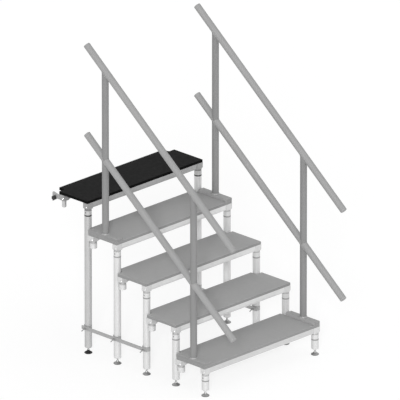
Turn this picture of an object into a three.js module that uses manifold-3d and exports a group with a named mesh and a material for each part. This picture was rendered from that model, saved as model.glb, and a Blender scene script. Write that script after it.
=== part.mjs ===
// Stage stairs: five separate treads on plug-in legs, with a handrail on each side
// and couplers that hang the top tread on a stage. Millimetres, +Z up, climbing towards +Y.
import * as THREE from 'three';
import { mergeVertices } from 'three/addons/utils/BufferGeometryUtils.js';
import Module from 'manifold-3d';

// The flight
const STEP_COUNT = 5;
const RISE = 200;
const GOING = 250;
const LEG_SPACING = 950;

// Fits and making
const CLEARANCE = 0.3; // gap between pieces that plug or turn in each other
const WELD_BITE = 1; // how far a welded part runs into its neighbour
const OVERRUN = 5; // how far a cutter passes the surface that it cuts
const TUBE_FACES = 16; // faces round a leg, foot or rail
const SMALL_FACES = 8; // faces round a pin, lever or hole

// Tread boards, measured from the line of the tread's own legs
const BOARD_THICKNESS = 18;
const BOARD_NOSE = 19; // front edge ahead of the leg line
const BOARD_SIDE_OVERHANG = 23; // side edge outside the leg axis
const BOARD_LAP = 22; // back edge behind the next leg line
const LEG_NOTCH_GAP = 2; // air between a board's notched corner and the next leg
const LEG_NOTCH_ROUND = 10; // rounding inside the notch
const LEG_NOTCH_STEPS = 6;

// Tread frames
const FRAME_RAIL_HEIGHT = 36;
const FRAME_RAIL_DEPTH = 30;
const FRAME_WALL = 3;
const CROSS_MEMBER_COUNT = 4;
const CROSS_MEMBER_WIDTH = 25;
const CASTING_WIDTH = 50;
const CASTING_HEIGHT = 40;
const CASTING_CHAMFER = 8;
const SOCKET_ROOF = 12; // metal left above a leg socket
const SLEEVE_LENGTH = 42;
const SLEEVE_TO_LEG_GAP = 1; // air between a rear sleeve and the next leg
const SADDLE_WIDTH = 38; // cradle behind a rear casting that bears on the next leg
const SADDLE_DROP = 4; // its top below the board
const SADDLE_WRAP = 10; // how far it reaches round the leg from the leg's front

// Legs
const LEG_DIAMETER = 45;
const LEG_WALL = 3;
const LEG_RING_HEIGHT = 6;
const LEG_RING_STEP = 0.5;
const LEG_CHAMFER = 2;
const LEG_PLUG_LENGTH = 30; // threaded plug in the leg's lower end
const SPIGOT_DIAMETER = 37.4;
const SPIGOT_WALL = 3;
const SPIGOT_ROOT = 30; // how far the spigot reaches down inside the leg
const SPIGOT_END_GAP = 2;

// Levelling feet
const FOOT_HEIGHT = 39; // floor to the lower end of the leg
const FOOT_DIAMETER = 49;
const FOOT_RIM = 5.5;
const FOOT_RIM_CHAMFER = 1.5;
const FOOT_SHOULDER_DIAMETER = 30;
const FOOT_SHOULDER_HEIGHT = 11;
const FOOT_NECK_DIAMETER = 15;
const FOOT_NECK_HEIGHT = 19;
const SPINDLE_DIAMETER = 10;
const SPINDLE_CHAMFER = 1.5;
const FOOT_TRAVEL = 40;

// Handrails
const HANDRAIL_DIAMETER = 42.4;
const HANDRAIL_WALL = 3;
const HANDRAIL_CAP = 4; // thickness of a closed tube end
const POST_SETBACK = 100; // post axis behind its tread's leg line
const LOWER_POST_STEP = 1;
const UPPER_POST_STEP = 4;
const TOP_RAIL_HEIGHT = 1076; // rail axis above the tread at the post
const MID_RAIL_DROP = 577; // axis of the knee rail below the top rail
const RAIL_LEAD = 437; // rail beyond the lower post, along the slope
const RAIL_TAIL = 202.5; // rail beyond the upper post, along the slope
const VENT_DIAMETER = 12;

// Post shoes
const SHOE_WIDTH = 50;
const SHOE_HEIGHT = 18;
const SHOE_CHAMFER = 2;
const SHOE_SPIGOT_LENGTH = 60;
const SHOE_SPIGOT_CHAMFER = 3;

// Tie bars with their claws and levers
const TIE_FIRST_STEP = 3;
const TIE_LAST_STEP = 5;
const TIE_HEIGHT = 171; // bar axis above the floor
const TIE_BAR_DEPTH = 23; // upright side of the flat bar
const TIE_BAR_THICKNESS = 6;
const TIE_FRONT_END = 29;
const TIE_REAR_END = 27;
const CLAW_WALL = 4;
const CLAW_HEIGHT = 28;
const CLAW_REACH_DEGREES = 105; // to each side of the bar
const CLAW_ARC_STEPS = 8;
const LEVER_BARREL_DIAMETER = 10;
const LEVER_BARREL_LENGTH = 10;
const LEVER_PIN_DIAMETER = 4;
const LEVER_PIN_PROUD = 1;
const LEVER_DIAMETER = 7;
const LEVER_LENGTH = 24;
const LEVER_DROOP_DEGREES = 22;
const LEVER_DROP = 5; // pivot below the bar's axis
const LUG_THICKNESS = 3;
const LUG_HEIGHT = 10;
const LUG_BEYOND_PIVOT = 4;

// Couplers behind the top tread
const COUPLER_ARM_WIDTH = 24;
const COUPLER_ARM_TOP = 35; // below the tread's surface
const COUPLER_ARM_HEIGHT = 27;
const COUPLER_ARM_LENGTH = 39;
const COUPLER_ARM_CHAMFER = 5;
const JAW_THICKNESS = 14;
const JAW_LENGTH = 37;
const JAW_TOP_RISE = 8;
const JAW_BOTTOM_DROP = 26;
const KNOB_DIAMETER = 28;
const KNOB_LENGTH = 16;
const KNOB_CHAMFER = 2;
const KNOB_LOBES = 6;
const KNOB_LOBE_DEPTH = 2;
const KNOB_STUD_DIAMETER = 8;
const KNOB_STUD_PROUD = 4;
const KNOB_SETBACK = 16; // knob axis behind the jaw's front edge
const KNOB_DROP = 58; // knob axis below the tread's surface
const PIN_DIAMETER = 28;
const PIN_LENGTH = 46; // hanging below the casting
const PIN_SEAT = 24; // held inside the casting
const PIN_TIP_ROUND = 9;

// Sizes that follow from the ones above
const LEG_X = LEG_SPACING / 2;
const LEG_RADIUS = LEG_DIAMETER / 2;
const RAIL_RADIUS = HANDRAIL_DIAMETER / 2;
const BOARD_HALF_WIDTH = LEG_X + BOARD_SIDE_OVERHANG;
const BOARD_BACK = GOING + BOARD_LAP;
const BOARD_SIDE_END = GOING - LEG_RADIUS - LEG_NOTCH_GAP;
const BOARD_NOTCH_X = LEG_X - LEG_RADIUS - LEG_NOTCH_GAP;
const CASTING_DEPTH = 2 * BOARD_NOSE;
const CASTING_BOTTOM = -BOARD_THICKNESS - CASTING_HEIGHT;
const SLEEVE_BOTTOM = CASTING_BOTTOM - SLEEVE_LENGTH;
const REAR_CASTING_Y = GOING - LEG_DIAMETER - SLEEVE_TO_LEG_GAP;
const SOCKET_DEPTH = SLEEVE_LENGTH + CASTING_HEIGHT - SOCKET_ROOF;
const RAIL_SLOPE = Math.atan2(RISE, GOING);
const POST_SPAN = (UPPER_POST_STEP - LOWER_POST_STEP) * GOING;
const SLOPED_SPAN = POST_SPAN / Math.cos(RAIL_SLOPE);
const RAIL_LENGTH = RAIL_LEAD + SLOPED_SPAN + RAIL_TAIL;
const CLAW_INNER = LEG_RADIUS + CLEARANCE;
const CLAW_OUTER = CLAW_INNER + CLAW_WALL;
const TIE_INNER_X = CLAW_OUTER - WELD_BITE;
const TIE_OUTER_X = TIE_INNER_X + TIE_BAR_THICKNESS;
const LEVER_PIVOT_X = TIE_OUTER_X + CLEARANCE + LEVER_BARREL_DIAMETER / 2;

// Finishes
const finish = (color, roughness, metalness) =>
  new THREE.MeshStandardMaterial({ color, roughness, metalness });
const blackBoardFinish = finish(0x2b2b2b, 0.75, 0);
const greyBoardFinish = finish(0x979797, 0.75, 0);
const aluminiumFinish = finish(0xcfcfcf, 0.45, 0.8);
const legFinish = finish(0xdedede, 0.4, 0.8);
const handrailFinish = finish(0x9a9a9a, 0.5, 0.3);
const footFinish = finish(0x6e6e6e, 0.6, 0.4);
const blackFootFinish = finish(0x1c1c1c, 0.6, 0.2);
const zincFinish = finish(0xa2a2a2, 0.45, 0.7);
const knobFinish = finish(0x242424, 0.6, 0);
const steelPinFinish = finish(0xb4b4b4, 0.3, 0.9);

const wasm = await Module();
wasm.setup();

// A closed three.js geometry as a solid, with its faces turned outwards
function solid(geometry) {
  const bare = geometry.clone();
  bare.deleteAttribute('normal');
  bare.deleteAttribute('uv');
  const merged = mergeVertices(bare);
  const points = merged.attributes.position;
  const corners = [new THREE.Vector3(), new THREE.Vector3(), new THREE.Vector3()];
  const triangles = [];
  let volume = 0;
  for (let i = 0; i < merged.index.count; i += 3) {
    const face = [0, 1, 2].map((corner) => merged.index.getX(i + corner));
    if (new Set(face).size < 3) continue;
    corners.forEach((point, corner) => point.fromBufferAttribute(points, face[corner]));
    volume += corners[0].dot(corners[1].clone().cross(corners[2]));
    triangles.push(face);
  }
  if (volume < 0) triangles.forEach((face) => face.reverse());
  const mesh = new wasm.Mesh({
    numProp: 3,
    vertProperties: new Float32Array(points.array),
    triVerts: new Uint32Array(triangles.flat()),
  });
  return new wasm.Manifold(mesh);
}

// A named mesh from a solid
function meshOf(name, body, material) {
  const data = body.getMesh();
  const geometry = new THREE.BufferGeometry();
  geometry.setAttribute('position', new THREE.BufferAttribute(data.vertProperties, 3));
  geometry.setIndex(new THREE.BufferAttribute(data.triVerts, 1));
  const flat = geometry.toNonIndexed();
  flat.computeVertexNormals();
  const mesh = new THREE.Mesh(flat, material);
  mesh.name = name;
  return mesh;
}

// A box between two corners
function block(low, high) {
  const size = high.map((value, axis) => value - low[axis]);
  const middle = high.map((value, axis) => (value + low[axis]) / 2);
  return solid(new THREE.BoxGeometry(...size).translate(...middle));
}

// A profile of radius and height pairs, turned about Z
function turned(profile, faces = TUBE_FACES) {
  const points = [...profile, profile[0]].map(([radius, z]) => new THREE.Vector2(radius, z));
  return solid(new THREE.LatheGeometry(points, faces).rotateX(Math.PI / 2));
}

// A round bar standing on Z from one height to another
function bar(radius, low, high, faces = TUBE_FACES) {
  return turned([[0, low], [radius, low], [radius, high], [0, high]], faces);
}

// An outline in X and Y, raised along Z
function raised(outline, low, high, curveSegments = 1) {
  const depth = high - low;
  const geometry = new THREE.ExtrudeGeometry(outline, { depth, bevelEnabled: false, curveSegments });
  return solid(geometry.translate(0, 0, low));
}

function outlineOf(points) {
  return new THREE.Shape(points.map(([x, y]) => new THREE.Vector2(x, y)));
}

// The same outline turned to run along X, so that it is seen from the end in Y and Z
function runAlongX(outline, low, high) {
  const geometry = new THREE.ExtrudeGeometry(outline, { depth: high - low, bevelEnabled: false });
  geometry.rotateY(Math.PI / 2).rotateX(Math.PI / 2);
  return solid(geometry.translate(low, 0, 0));
}

// The same outline turned to run along Y, so that it is seen from the end in X and Z
function runAlongY(outline, low, high) {
  const geometry = new THREE.ExtrudeGeometry(outline, { depth: high - low, bevelEnabled: false });
  return solid(geometry.rotateX(Math.PI / 2).translate(0, high, 0));
}

// Tread boards: notched rear corners let the next pair of legs pass
function boardOutline() {
  const right = [
    [BOARD_HALF_WIDTH, -BOARD_NOSE],
    [BOARD_HALF_WIDTH, BOARD_SIDE_END],
  ];
  for (let i = 0; i <= LEG_NOTCH_STEPS; i += 1) {
    const turn = Math.PI * (1.5 - i / LEG_NOTCH_STEPS / 2);
    const x = BOARD_NOTCH_X + LEG_NOTCH_ROUND * (1 + Math.cos(turn));
    const y = BOARD_SIDE_END + LEG_NOTCH_ROUND * (1 + Math.sin(turn));
    right.push([x, y]);
  }
  right.push([BOARD_NOTCH_X, BOARD_BACK]);
  const left = right.map(([x, y]) => [-x, y]).reverse();
  return outlineOf([...right, ...left]);
}

function treadBoard() {
  return raised(boardOutline(), -BOARD_THICKNESS, 0);
}

// A channel rail, its open side facing the other rail
function channelRail(facing) {
  const top = -BOARD_THICKNESS;
  const bottom = top - FRAME_RAIL_HEIGHT;
  const back = (-facing * FRAME_RAIL_DEPTH) / 2;
  const open = (facing * FRAME_RAIL_DEPTH) / 2;
  const web = back + facing * FRAME_WALL;
  const halfLength = LEG_X - CASTING_WIDTH / 2 + WELD_BITE;
  const shell = block([-halfLength, Math.min(back, open), bottom], [halfLength, Math.max(back, open), top]);
  const far = open + facing * OVERRUN;
  const inside = block(
    [-halfLength - OVERRUN, Math.min(web, far), bottom + FRAME_WALL],
    [halfLength + OVERRUN, Math.max(web, far), top - FRAME_WALL],
  );
  return shell.subtract(inside);
}

// A cross member is a channel that opens downwards
function crossMember(x) {
  const half = CROSS_MEMBER_WIDTH / 2;
  const top = -BOARD_THICKNESS - FRAME_WALL + WELD_BITE;
  const bottom = -BOARD_THICKNESS - FRAME_RAIL_HEIGHT + FRAME_WALL - WELD_BITE;
  const webReach = FRAME_RAIL_DEPTH / 2 - FRAME_WALL + WELD_BITE;
  const front = -webReach;
  const rear = REAR_CASTING_Y + webReach;
  const outside = block([x - half, front, bottom], [x + half, rear, top]);
  const inside = block(
    [x - half + FRAME_WALL, front - OVERRUN, bottom - OVERRUN],
    [x + half - FRAME_WALL, rear + OVERRUN, top - FRAME_WALL],
  );
  return outside.subtract(inside);
}

// A corner casting's block, chamfered below its outer edge
function castingBlock(side) {
  const top = -BOARD_THICKNESS;
  const inner = LEG_X - CASTING_WIDTH / 2;
  const outer = LEG_X + CASTING_WIDTH / 2;
  const section = outlineOf([
    [inner, CASTING_BOTTOM],
    [outer - CASTING_CHAMFER, CASTING_BOTTOM],
    [outer, CASTING_BOTTOM + CASTING_CHAMFER],
    [outer, top],
    [inner, top],
  ]);
  const body = runAlongY(section, -CASTING_DEPTH / 2, CASTING_DEPTH / 2);
  return side > 0 ? body : body.mirror([1, 0, 0]);
}

// A casting with its sleeve: the rear sleeves of the lower treads stay unused and closed
function casting(side, hasSleeve) {
  let body = castingBlock(side);
  if (hasSleeve) {
    const sleeve = bar(LEG_RADIUS, SLEEVE_BOTTOM, CASTING_BOTTOM + WELD_BITE);
    body = body.add(sleeve.translate(side * LEG_X, 0, 0));
  }
  return body;
}

// The saddle behind a rear casting that bears on the next tread's leg
function legSaddle(side) {
  const legFront = GOING - LEG_RADIUS;
  const front = REAR_CASTING_Y + CASTING_DEPTH / 2 - WELD_BITE;
  const half = SADDLE_WIDTH / 2;
  const top = -BOARD_THICKNESS - SADDLE_DROP;
  const body = block([-half, front, CASTING_BOTTOM], [half, legFront + SADDLE_WRAP, top]);
  const legSpace = bar(LEG_RADIUS + CLEARANCE, CASTING_BOTTOM - OVERRUN, top + OVERRUN);
  return body.subtract(legSpace.translate(0, GOING, 0)).translate(side * LEG_X, 0, 0);
}

// The bore in a front sleeve that takes a leg's spigot
function legSocket(side) {
  const bore = bar(SPIGOT_DIAMETER / 2 + CLEARANCE, SLEEVE_BOTTOM - OVERRUN, SLEEVE_BOTTOM + SOCKET_DEPTH);
  return bore.translate(side * LEG_X, 0, 0);
}

// The bore in a rear casting of the top tread that takes a coupling pin
function pinSocket(side) {
  const top = CASTING_BOTTOM + PIN_SEAT + CLEARANCE;
  const bore = bar(PIN_DIAMETER / 2 + CLEARANCE, CASTING_BOTTOM - OVERRUN, top);
  return bore.translate(side * LEG_X, REAR_CASTING_Y, 0);
}

function treadFrame(isTop) {
  const rearRail = channelRail(-1).translate(0, REAR_CASTING_Y, 0);
  let frame = channelRail(1).add(rearRail);
  const crossPitch = (LEG_SPACING - CASTING_WIDTH) / (CROSS_MEMBER_COUNT + 1);
  for (let i = 1; i <= CROSS_MEMBER_COUNT; i += 1) {
    frame = frame.add(crossMember(i * crossPitch - (LEG_SPACING - CASTING_WIDTH) / 2));
  }
  for (const side of [-1, 1]) {
    frame = frame.add(casting(side, true)).subtract(legSocket(side));
    frame = frame.add(casting(side, !isTop).translate(0, REAR_CASTING_Y, 0));
    frame = isTop ? frame.subtract(pinSocket(side)) : frame.add(legSaddle(side));
  }
  return frame;
}

// A leg stands on its foot, and its spigot plugs into the tread's sleeve
function leg(treadHeight) {
  const shoulder = treadHeight + SLEEVE_BOTTOM;
  const spigotTop = shoulder + SOCKET_DEPTH - SPIGOT_END_GAP;
  const bore = LEG_RADIUS - LEG_WALL;
  const spigot = SPIGOT_DIAMETER / 2;
  const plugTop = FOOT_HEIGHT + LEG_PLUG_LENGTH;
  const spigotRoot = Math.max(shoulder - SPIGOT_ROOT, plugTop);
  const spindleBore = SPINDLE_DIAMETER / 2 + CLEARANCE;
  const inside = spigotRoot > plugTop
    ? [[spigot - SPIGOT_WALL, spigotRoot], [bore, spigotRoot], [bore, plugTop]]
    : [[spigot - SPIGOT_WALL, plugTop]];
  return turned([
    [spindleBore, FOOT_HEIGHT],
    [LEG_RADIUS - LEG_CHAMFER, FOOT_HEIGHT],
    [LEG_RADIUS, FOOT_HEIGHT + LEG_CHAMFER],
    [LEG_RADIUS, shoulder - LEG_RING_HEIGHT],
    [LEG_RADIUS + LEG_RING_STEP, shoulder - LEG_RING_HEIGHT],
    [LEG_RADIUS + LEG_RING_STEP, shoulder],
    [spigot, shoulder],
    [spigot, spigotTop],
    [spigot - SPIGOT_WALL, spigotTop],
    ...inside,
    [spindleBore, plugTop],
  ]);
}

// A levelling foot: disc, bell and the spindle that screws up into the leg
function foot() {
  const spindle = SPINDLE_DIAMETER / 2;
  const spindleTop = FOOT_HEIGHT + LEG_PLUG_LENGTH + FOOT_TRAVEL;
  return turned([
    [0, 0],
    [FOOT_DIAMETER / 2 - FOOT_RIM_CHAMFER, 0],
    [FOOT_DIAMETER / 2, FOOT_RIM_CHAMFER],
    [FOOT_DIAMETER / 2, FOOT_RIM],
    [FOOT_SHOULDER_DIAMETER / 2, FOOT_SHOULDER_HEIGHT],
    [FOOT_NECK_DIAMETER / 2, FOOT_NECK_HEIGHT],
    [spindle, FOOT_NECK_HEIGHT + SPINDLE_DIAMETER / 2],
    [spindle, spindleTop - SPINDLE_CHAMFER],
    [spindle - SPINDLE_CHAMFER, spindleTop],
    [0, spindleTop],
  ]);
}

// Handrails: round tubes, coped where they meet
function handrailTube(length, startCap, endCap) {
  const bore = RAIL_RADIUS - HANDRAIL_WALL;
  const inside = bar(bore, startCap ? HANDRAIL_CAP : -OVERRUN, length + (endCap ? -HANDRAIL_CAP : OVERRUN));
  return bar(RAIL_RADIUS, 0, length).subtract(inside);
}

// Lays a piece made along Z down on the rail's slope, rising towards +Y
function laidOnSlope(body) {
  return body.rotate([(RAIL_SLOPE * 180) / Math.PI - 90, 0, 0]);
}

function postCutter() {
  return bar(RAIL_RADIUS + CLEARANCE, -RAIL_LENGTH, RAIL_LENGTH);
}

// The upright stands on its shoe and is coped under the top rail, whose axis is at Z = 0
function post() {
  const length = TOP_RAIL_HEIGHT - SHOE_HEIGHT;
  const reach = 2 * HANDRAIL_DIAMETER;
  const railCutter = laidOnSlope(bar(RAIL_RADIUS + CLEARANCE, -reach, reach));
  return handrailTube(length, false, false).translate(0, 0, -length).subtract(railCutter);
}

// The top rail starts at its lower end, and has vent holes inside the post joints
function topRail() {
  let rail = laidOnSlope(handrailTube(RAIL_LENGTH, true, true));
  for (const along of [RAIL_LEAD, RAIL_LEAD + SLOPED_SPAN]) {
    const vent = bar(VENT_DIAMETER / 2, -HANDRAIL_DIAMETER, 0, SMALL_FACES);
    rail = rail.subtract(vent.translate(0, along * Math.cos(RAIL_SLOPE), along * Math.sin(RAIL_SLOPE)));
  }
  return rail;
}

// The knee rail comes in three lengths, coped against the posts between them
function kneeRailPieces() {
  const atUpperPost = [0, POST_SPAN, POST_SPAN * Math.tan(RAIL_SLOPE)];
  const lower = laidOnSlope(handrailTube(RAIL_LEAD, true, false).translate(0, 0, -RAIL_LEAD));
  const middle = laidOnSlope(handrailTube(SLOPED_SPAN, false, false));
  const upper = laidOnSlope(handrailTube(RAIL_TAIL, false, true));
  return {
    lower: lower.subtract(postCutter()),
    middle: middle.subtract(postCutter()).subtract(postCutter().translate(...atUpperPost)),
    upper: upper.subtract(postCutter()).translate(...atUpperPost),
  };
}

// A shoe lies on the board along the tread's side, and its spigot fills the foot of the post
function shoe(side) {
  const outer = BOARD_HALF_WIDTH - LEG_X;
  const inner = outer - SHOE_WIDTH;
  const section = outlineOf([
    [inner, 0],
    [outer, 0],
    [outer, SHOE_HEIGHT - SHOE_CHAMFER],
    [outer - SHOE_CHAMFER, SHOE_HEIGHT],
    [inner + SHOE_CHAMFER, SHOE_HEIGHT],
    [inner, SHOE_HEIGHT - SHOE_CHAMFER],
  ]);
  const plate = runAlongY(section, -BOARD_NOSE, BOARD_SIDE_END);
  const radius = RAIL_RADIUS - HANDRAIL_WALL - CLEARANCE;
  const top = SHOE_HEIGHT + SHOE_SPIGOT_LENGTH;
  const spigot = turned([
    [0, SHOE_HEIGHT - WELD_BITE],
    [radius, SHOE_HEIGHT - WELD_BITE],
    [radius, top - SHOE_SPIGOT_CHAMFER],
    [radius - SHOE_SPIGOT_CHAMFER, top],
    [0, top],
  ]);
  const body = plate.add(spigot.translate(0, POST_SETBACK, 0));
  return side > 0 ? body : body.mirror([1, 0, 0]);
}

// A claw half round a leg, open on the +X side
function claw() {
  const reach = THREE.MathUtils.degToRad(CLAW_REACH_DEGREES);
  const outline = new THREE.Shape();
  outline.absarc(0, 0, CLAW_OUTER, Math.PI - reach, Math.PI + reach, false);
  outline.absarc(0, 0, CLAW_INNER, Math.PI + reach, Math.PI - reach, true);
  return raised(outline, -CLAW_HEIGHT / 2, CLAW_HEIGHT / 2, CLAW_ARC_STEPS);
}

function crosswisePin(diameter, length) {
  return bar(diameter / 2, -length / 2, length / 2, SMALL_FACES).rotate([90, 0, 0]);
}

// Two lugs beside each claw carry its lever's pin
function leverLugs() {
  const inner = LEVER_BARREL_LENGTH / 2 + CLEARANCE;
  const xNear = -TIE_OUTER_X + WELD_BITE;
  const xFar = -LEVER_PIVOT_X - LUG_BEYOND_PIVOT;
  const zLow = -LEVER_DROP - LUG_HEIGHT / 2;
  let lugs = block([xFar, inner, zLow], [xNear, inner + LUG_THICKNESS, zLow + LUG_HEIGHT]);
  lugs = lugs.add(lugs.mirror([0, 1, 0]));
  const holeLength = 2 * (inner + LUG_THICKNESS + OVERRUN);
  const hole = crosswisePin(LEVER_PIN_DIAMETER + 2 * CLEARANCE, holeLength);
  return lugs.subtract(hole.translate(-LEVER_PIVOT_X, 0, -LEVER_DROP));
}

// The tie bar, from the axis of the first leg that it holds
function tieBar() {
  const rear = (TIE_LAST_STEP - TIE_FIRST_STEP) * GOING + TIE_REAR_END;
  const half = TIE_BAR_DEPTH / 2;
  let tie = block([-TIE_OUTER_X, -TIE_FRONT_END, -half], [-TIE_INNER_X, rear, half]);
  for (let step = TIE_FIRST_STEP; step <= TIE_LAST_STEP; step += 1) {
    const y = (step - TIE_FIRST_STEP) * GOING;
    tie = tie.add(claw().translate(0, y, 0)).add(leverLugs().translate(0, y, 0));
  }
  return tie;
}

// A claw's lever, made about its own pin
function lever() {
  const pinLength = LEVER_BARREL_LENGTH + 2 * (CLEARANCE + LUG_THICKNESS + LEVER_PIN_PROUD);
  const barrel = crosswisePin(LEVER_BARREL_DIAMETER, LEVER_BARREL_LENGTH);
  const pin = crosswisePin(LEVER_PIN_DIAMETER, pinLength);
  const handle = bar(LEVER_DIAMETER / 2, 0, LEVER_LENGTH, SMALL_FACES);
  const lean = -90 - LEVER_DROOP_DEGREES;
  return barrel.add(pin).add(handle.rotate([0, lean, 0]));
}

// A coupler: an arm on the rear casting's face, spreading into an upright jaw
function coupler(side) {
  const half = COUPLER_ARM_WIDTH / 2;
  const top = -COUPLER_ARM_TOP;
  const bottom = top - COUPLER_ARM_HEIGHT;
  const armEnd = COUPLER_ARM_LENGTH;
  const section = outlineOf([
    [-half, bottom + COUPLER_ARM_CHAMFER],
    [-half + COUPLER_ARM_CHAMFER, bottom],
    [half - COUPLER_ARM_CHAMFER, bottom],
    [half, bottom + COUPLER_ARM_CHAMFER],
    [half, top - COUPLER_ARM_CHAMFER],
    [half - COUPLER_ARM_CHAMFER, top],
    [-half + COUPLER_ARM_CHAMFER, top],
    [-half, top - COUPLER_ARM_CHAMFER],
  ]);
  const arm = runAlongY(section, 0, armEnd);
  const jawSide = outlineOf([
    [armEnd - WELD_BITE, bottom],
    [armEnd + JAW_LENGTH, bottom - JAW_BOTTOM_DROP],
    [armEnd + JAW_LENGTH, top + JAW_TOP_RISE],
    [armEnd - WELD_BITE, top],
  ]);
  const jaw = runAlongX(jawSide, -JAW_THICKNESS / 2, JAW_THICKNESS / 2);
  const studBore = bar(KNOB_STUD_DIAMETER / 2 + CLEARANCE, -JAW_THICKNESS, JAW_THICKNESS, SMALL_FACES);
  const bore = studBore.rotate([0, 90, 0]).translate(0, armEnd + KNOB_SETBACK, -KNOB_DROP);
  const body = arm.add(jaw).subtract(bore);
  return side > 0 ? body : body.mirror([1, 0, 0]);
}

// The clamp knob turns about X outside the jaw, and its stud passes through it
function knob(side) {
  const radius = KNOB_DIAMETER / 2;
  const seat = JAW_THICKNESS / 2 + CLEARANCE;
  const far = seat + KNOB_LENGTH;
  let head = turned([
    [0, seat],
    [radius - KNOB_CHAMFER, seat],
    [radius, seat + KNOB_CHAMFER],
    [radius, far - KNOB_CHAMFER],
    [radius - KNOB_CHAMFER, far],
    [0, far],
  ]);
  const scoopRadius = radius / 2;
  const scoopCentre = radius + scoopRadius - KNOB_LOBE_DEPTH;
  for (let i = 0; i < KNOB_LOBES; i += 1) {
    const turn = (i * 2 * Math.PI) / KNOB_LOBES;
    const scoop = bar(scoopRadius, seat - OVERRUN, far + OVERRUN, SMALL_FACES);
    const place = [scoopCentre * Math.cos(turn), scoopCentre * Math.sin(turn), 0];
    head = head.subtract(scoop.translate(...place));
  }
  const studEnd = -JAW_THICKNESS / 2 - KNOB_STUD_PROUD;
  const stud = bar(KNOB_STUD_DIAMETER / 2, studEnd, seat + WELD_BITE, SMALL_FACES);
  return head.add(stud).rotate([0, side * 90, 0]);
}

// The pin under a rear casting of the top tread drops into the stage's own socket
function couplingPin() {
  const radius = PIN_DIAMETER / 2;
  const chamfer = PIN_TIP_ROUND / 3;
  return turned([
    [0, -PIN_LENGTH],
    [radius - PIN_TIP_ROUND, -PIN_LENGTH],
    [radius - chamfer, -PIN_LENGTH + chamfer],
    [radius, -PIN_LENGTH + PIN_TIP_ROUND],
    [radius, PIN_SEAT],
    [0, PIN_SEAT],
  ]);
}

const stairs = new THREE.Group();
const SIDES = [['left', -1], ['right', 1]];

function placed(parent, name, body, material, x, y, z) {
  const mesh = meshOf(name, body, material);
  mesh.position.set(x, y, z);
  parent.add(mesh);
  return mesh;
}

// Treads with their legs and feet
for (let step = 1; step <= STEP_COUNT; step += 1) {
  const isTop = step === STEP_COUNT;
  const tread = new THREE.Group();
  tread.position.set(0, (step - 1) * GOING, 0);
  stairs.add(tread);
  const height = step * RISE;
  const boardFinish = isTop ? blackBoardFinish : greyBoardFinish;
  placed(tread, `tread_board_${step}`, treadBoard(), boardFinish, 0, 0, height);
  placed(tread, `tread_frame_${step}`, treadFrame(isTop), aluminiumFinish, 0, 0, height);
  for (const [sideName, side] of SIDES) {
    placed(tread, `leg_${sideName}_${step}`, leg(height), legFinish, side * LEG_X, 0, 0);
    const footMaterial = isTop ? blackFootFinish : footFinish;
    placed(tread, `foot_${sideName}_${step}`, foot(), footMaterial, side * LEG_X, 0, 0);
    if (isTop) {
      const bottom = height + CASTING_BOTTOM;
      const face = REAR_CASTING_Y + CASTING_DEPTH / 2;
      const x = side * LEG_X;
      placed(tread, `coupling_pin_${sideName}`, couplingPin(), steelPinFinish, x, REAR_CASTING_Y, bottom);
      placed(tread, `coupler_${sideName}`, coupler(side), zincFinish, x, face, height);
      const knobY = face + COUPLER_ARM_LENGTH + KNOB_SETBACK;
      placed(tread, `coupler_knob_${sideName}`, knob(side), knobFinish, x, knobY, height - KNOB_DROP);
    }
  }
}

// Handrails with their shoes
for (const [sideName, side] of SIDES) {
  const handrail = new THREE.Group();
  handrail.position.set(side * LEG_X, 0, 0);
  stairs.add(handrail);
  for (const [postName, step] of [['lower', LOWER_POST_STEP], ['upper', UPPER_POST_STEP]]) {
    const treadY = (step - 1) * GOING;
    const treadZ = step * RISE;
    placed(handrail, `post_shoe_${sideName}_${postName}`, shoe(side), greyBoardFinish, 0, treadY, treadZ);
    const postY = treadY + POST_SETBACK;
    const railZ = treadZ + TOP_RAIL_HEIGHT;
    placed(handrail, `post_${sideName}_${postName}`, post(), handrailFinish, 0, postY, railZ);
  }
  const postY = (LOWER_POST_STEP - 1) * GOING + POST_SETBACK;
  const postZ = LOWER_POST_STEP * RISE + TOP_RAIL_HEIGHT;
  const startY = postY - RAIL_LEAD * Math.cos(RAIL_SLOPE);
  const startZ = postZ - RAIL_LEAD * Math.sin(RAIL_SLOPE);
  placed(handrail, `top_rail_${sideName}`, topRail(), handrailFinish, 0, startY, startZ);
  for (const [part, body] of Object.entries(kneeRailPieces())) {
    const name = `knee_rail_${sideName}_${part}`;
    placed(handrail, name, body, handrailFinish, 0, postY, postZ - MID_RAIL_DROP);
  }
}

// Tie bars, both on the left side of the legs that they hold
for (const [sideName, side] of SIDES) {
  const tie = new THREE.Group();
  tie.position.set(side * LEG_X, (TIE_FIRST_STEP - 1) * GOING, TIE_HEIGHT);
  stairs.add(tie);
  placed(tie, `tie_bar_${sideName}`, tieBar(), zincFinish, 0, 0, 0);
  for (let step = TIE_FIRST_STEP; step <= TIE_LAST_STEP; step += 1) {
    const y = (step - TIE_FIRST_STEP) * GOING;
    placed(tie, `tie_lever_${sideName}_${step}`, lever(), zincFinish, -LEVER_PIVOT_X, y, -LEVER_DROP);
  }
}

// The origin is the middle of the footprint, on the floor
stairs.updateMatrixWorld(true);
const extent = new THREE.Box3().setFromObject(stairs);
const middle = extent.getCenter(new THREE.Vector3());
const wholePart = new THREE.Group();
stairs.position.set(-middle.x, -middle.y, -extent.min.z);
wholePart.add(stairs);

export default wholePart;
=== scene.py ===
"""Stage stairs: five treads on plug-in legs, two handrails, two tie bars and a pair of stage couplers."""

import math

import bmesh
import bpy
from mathutils import Matrix, Vector


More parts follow.
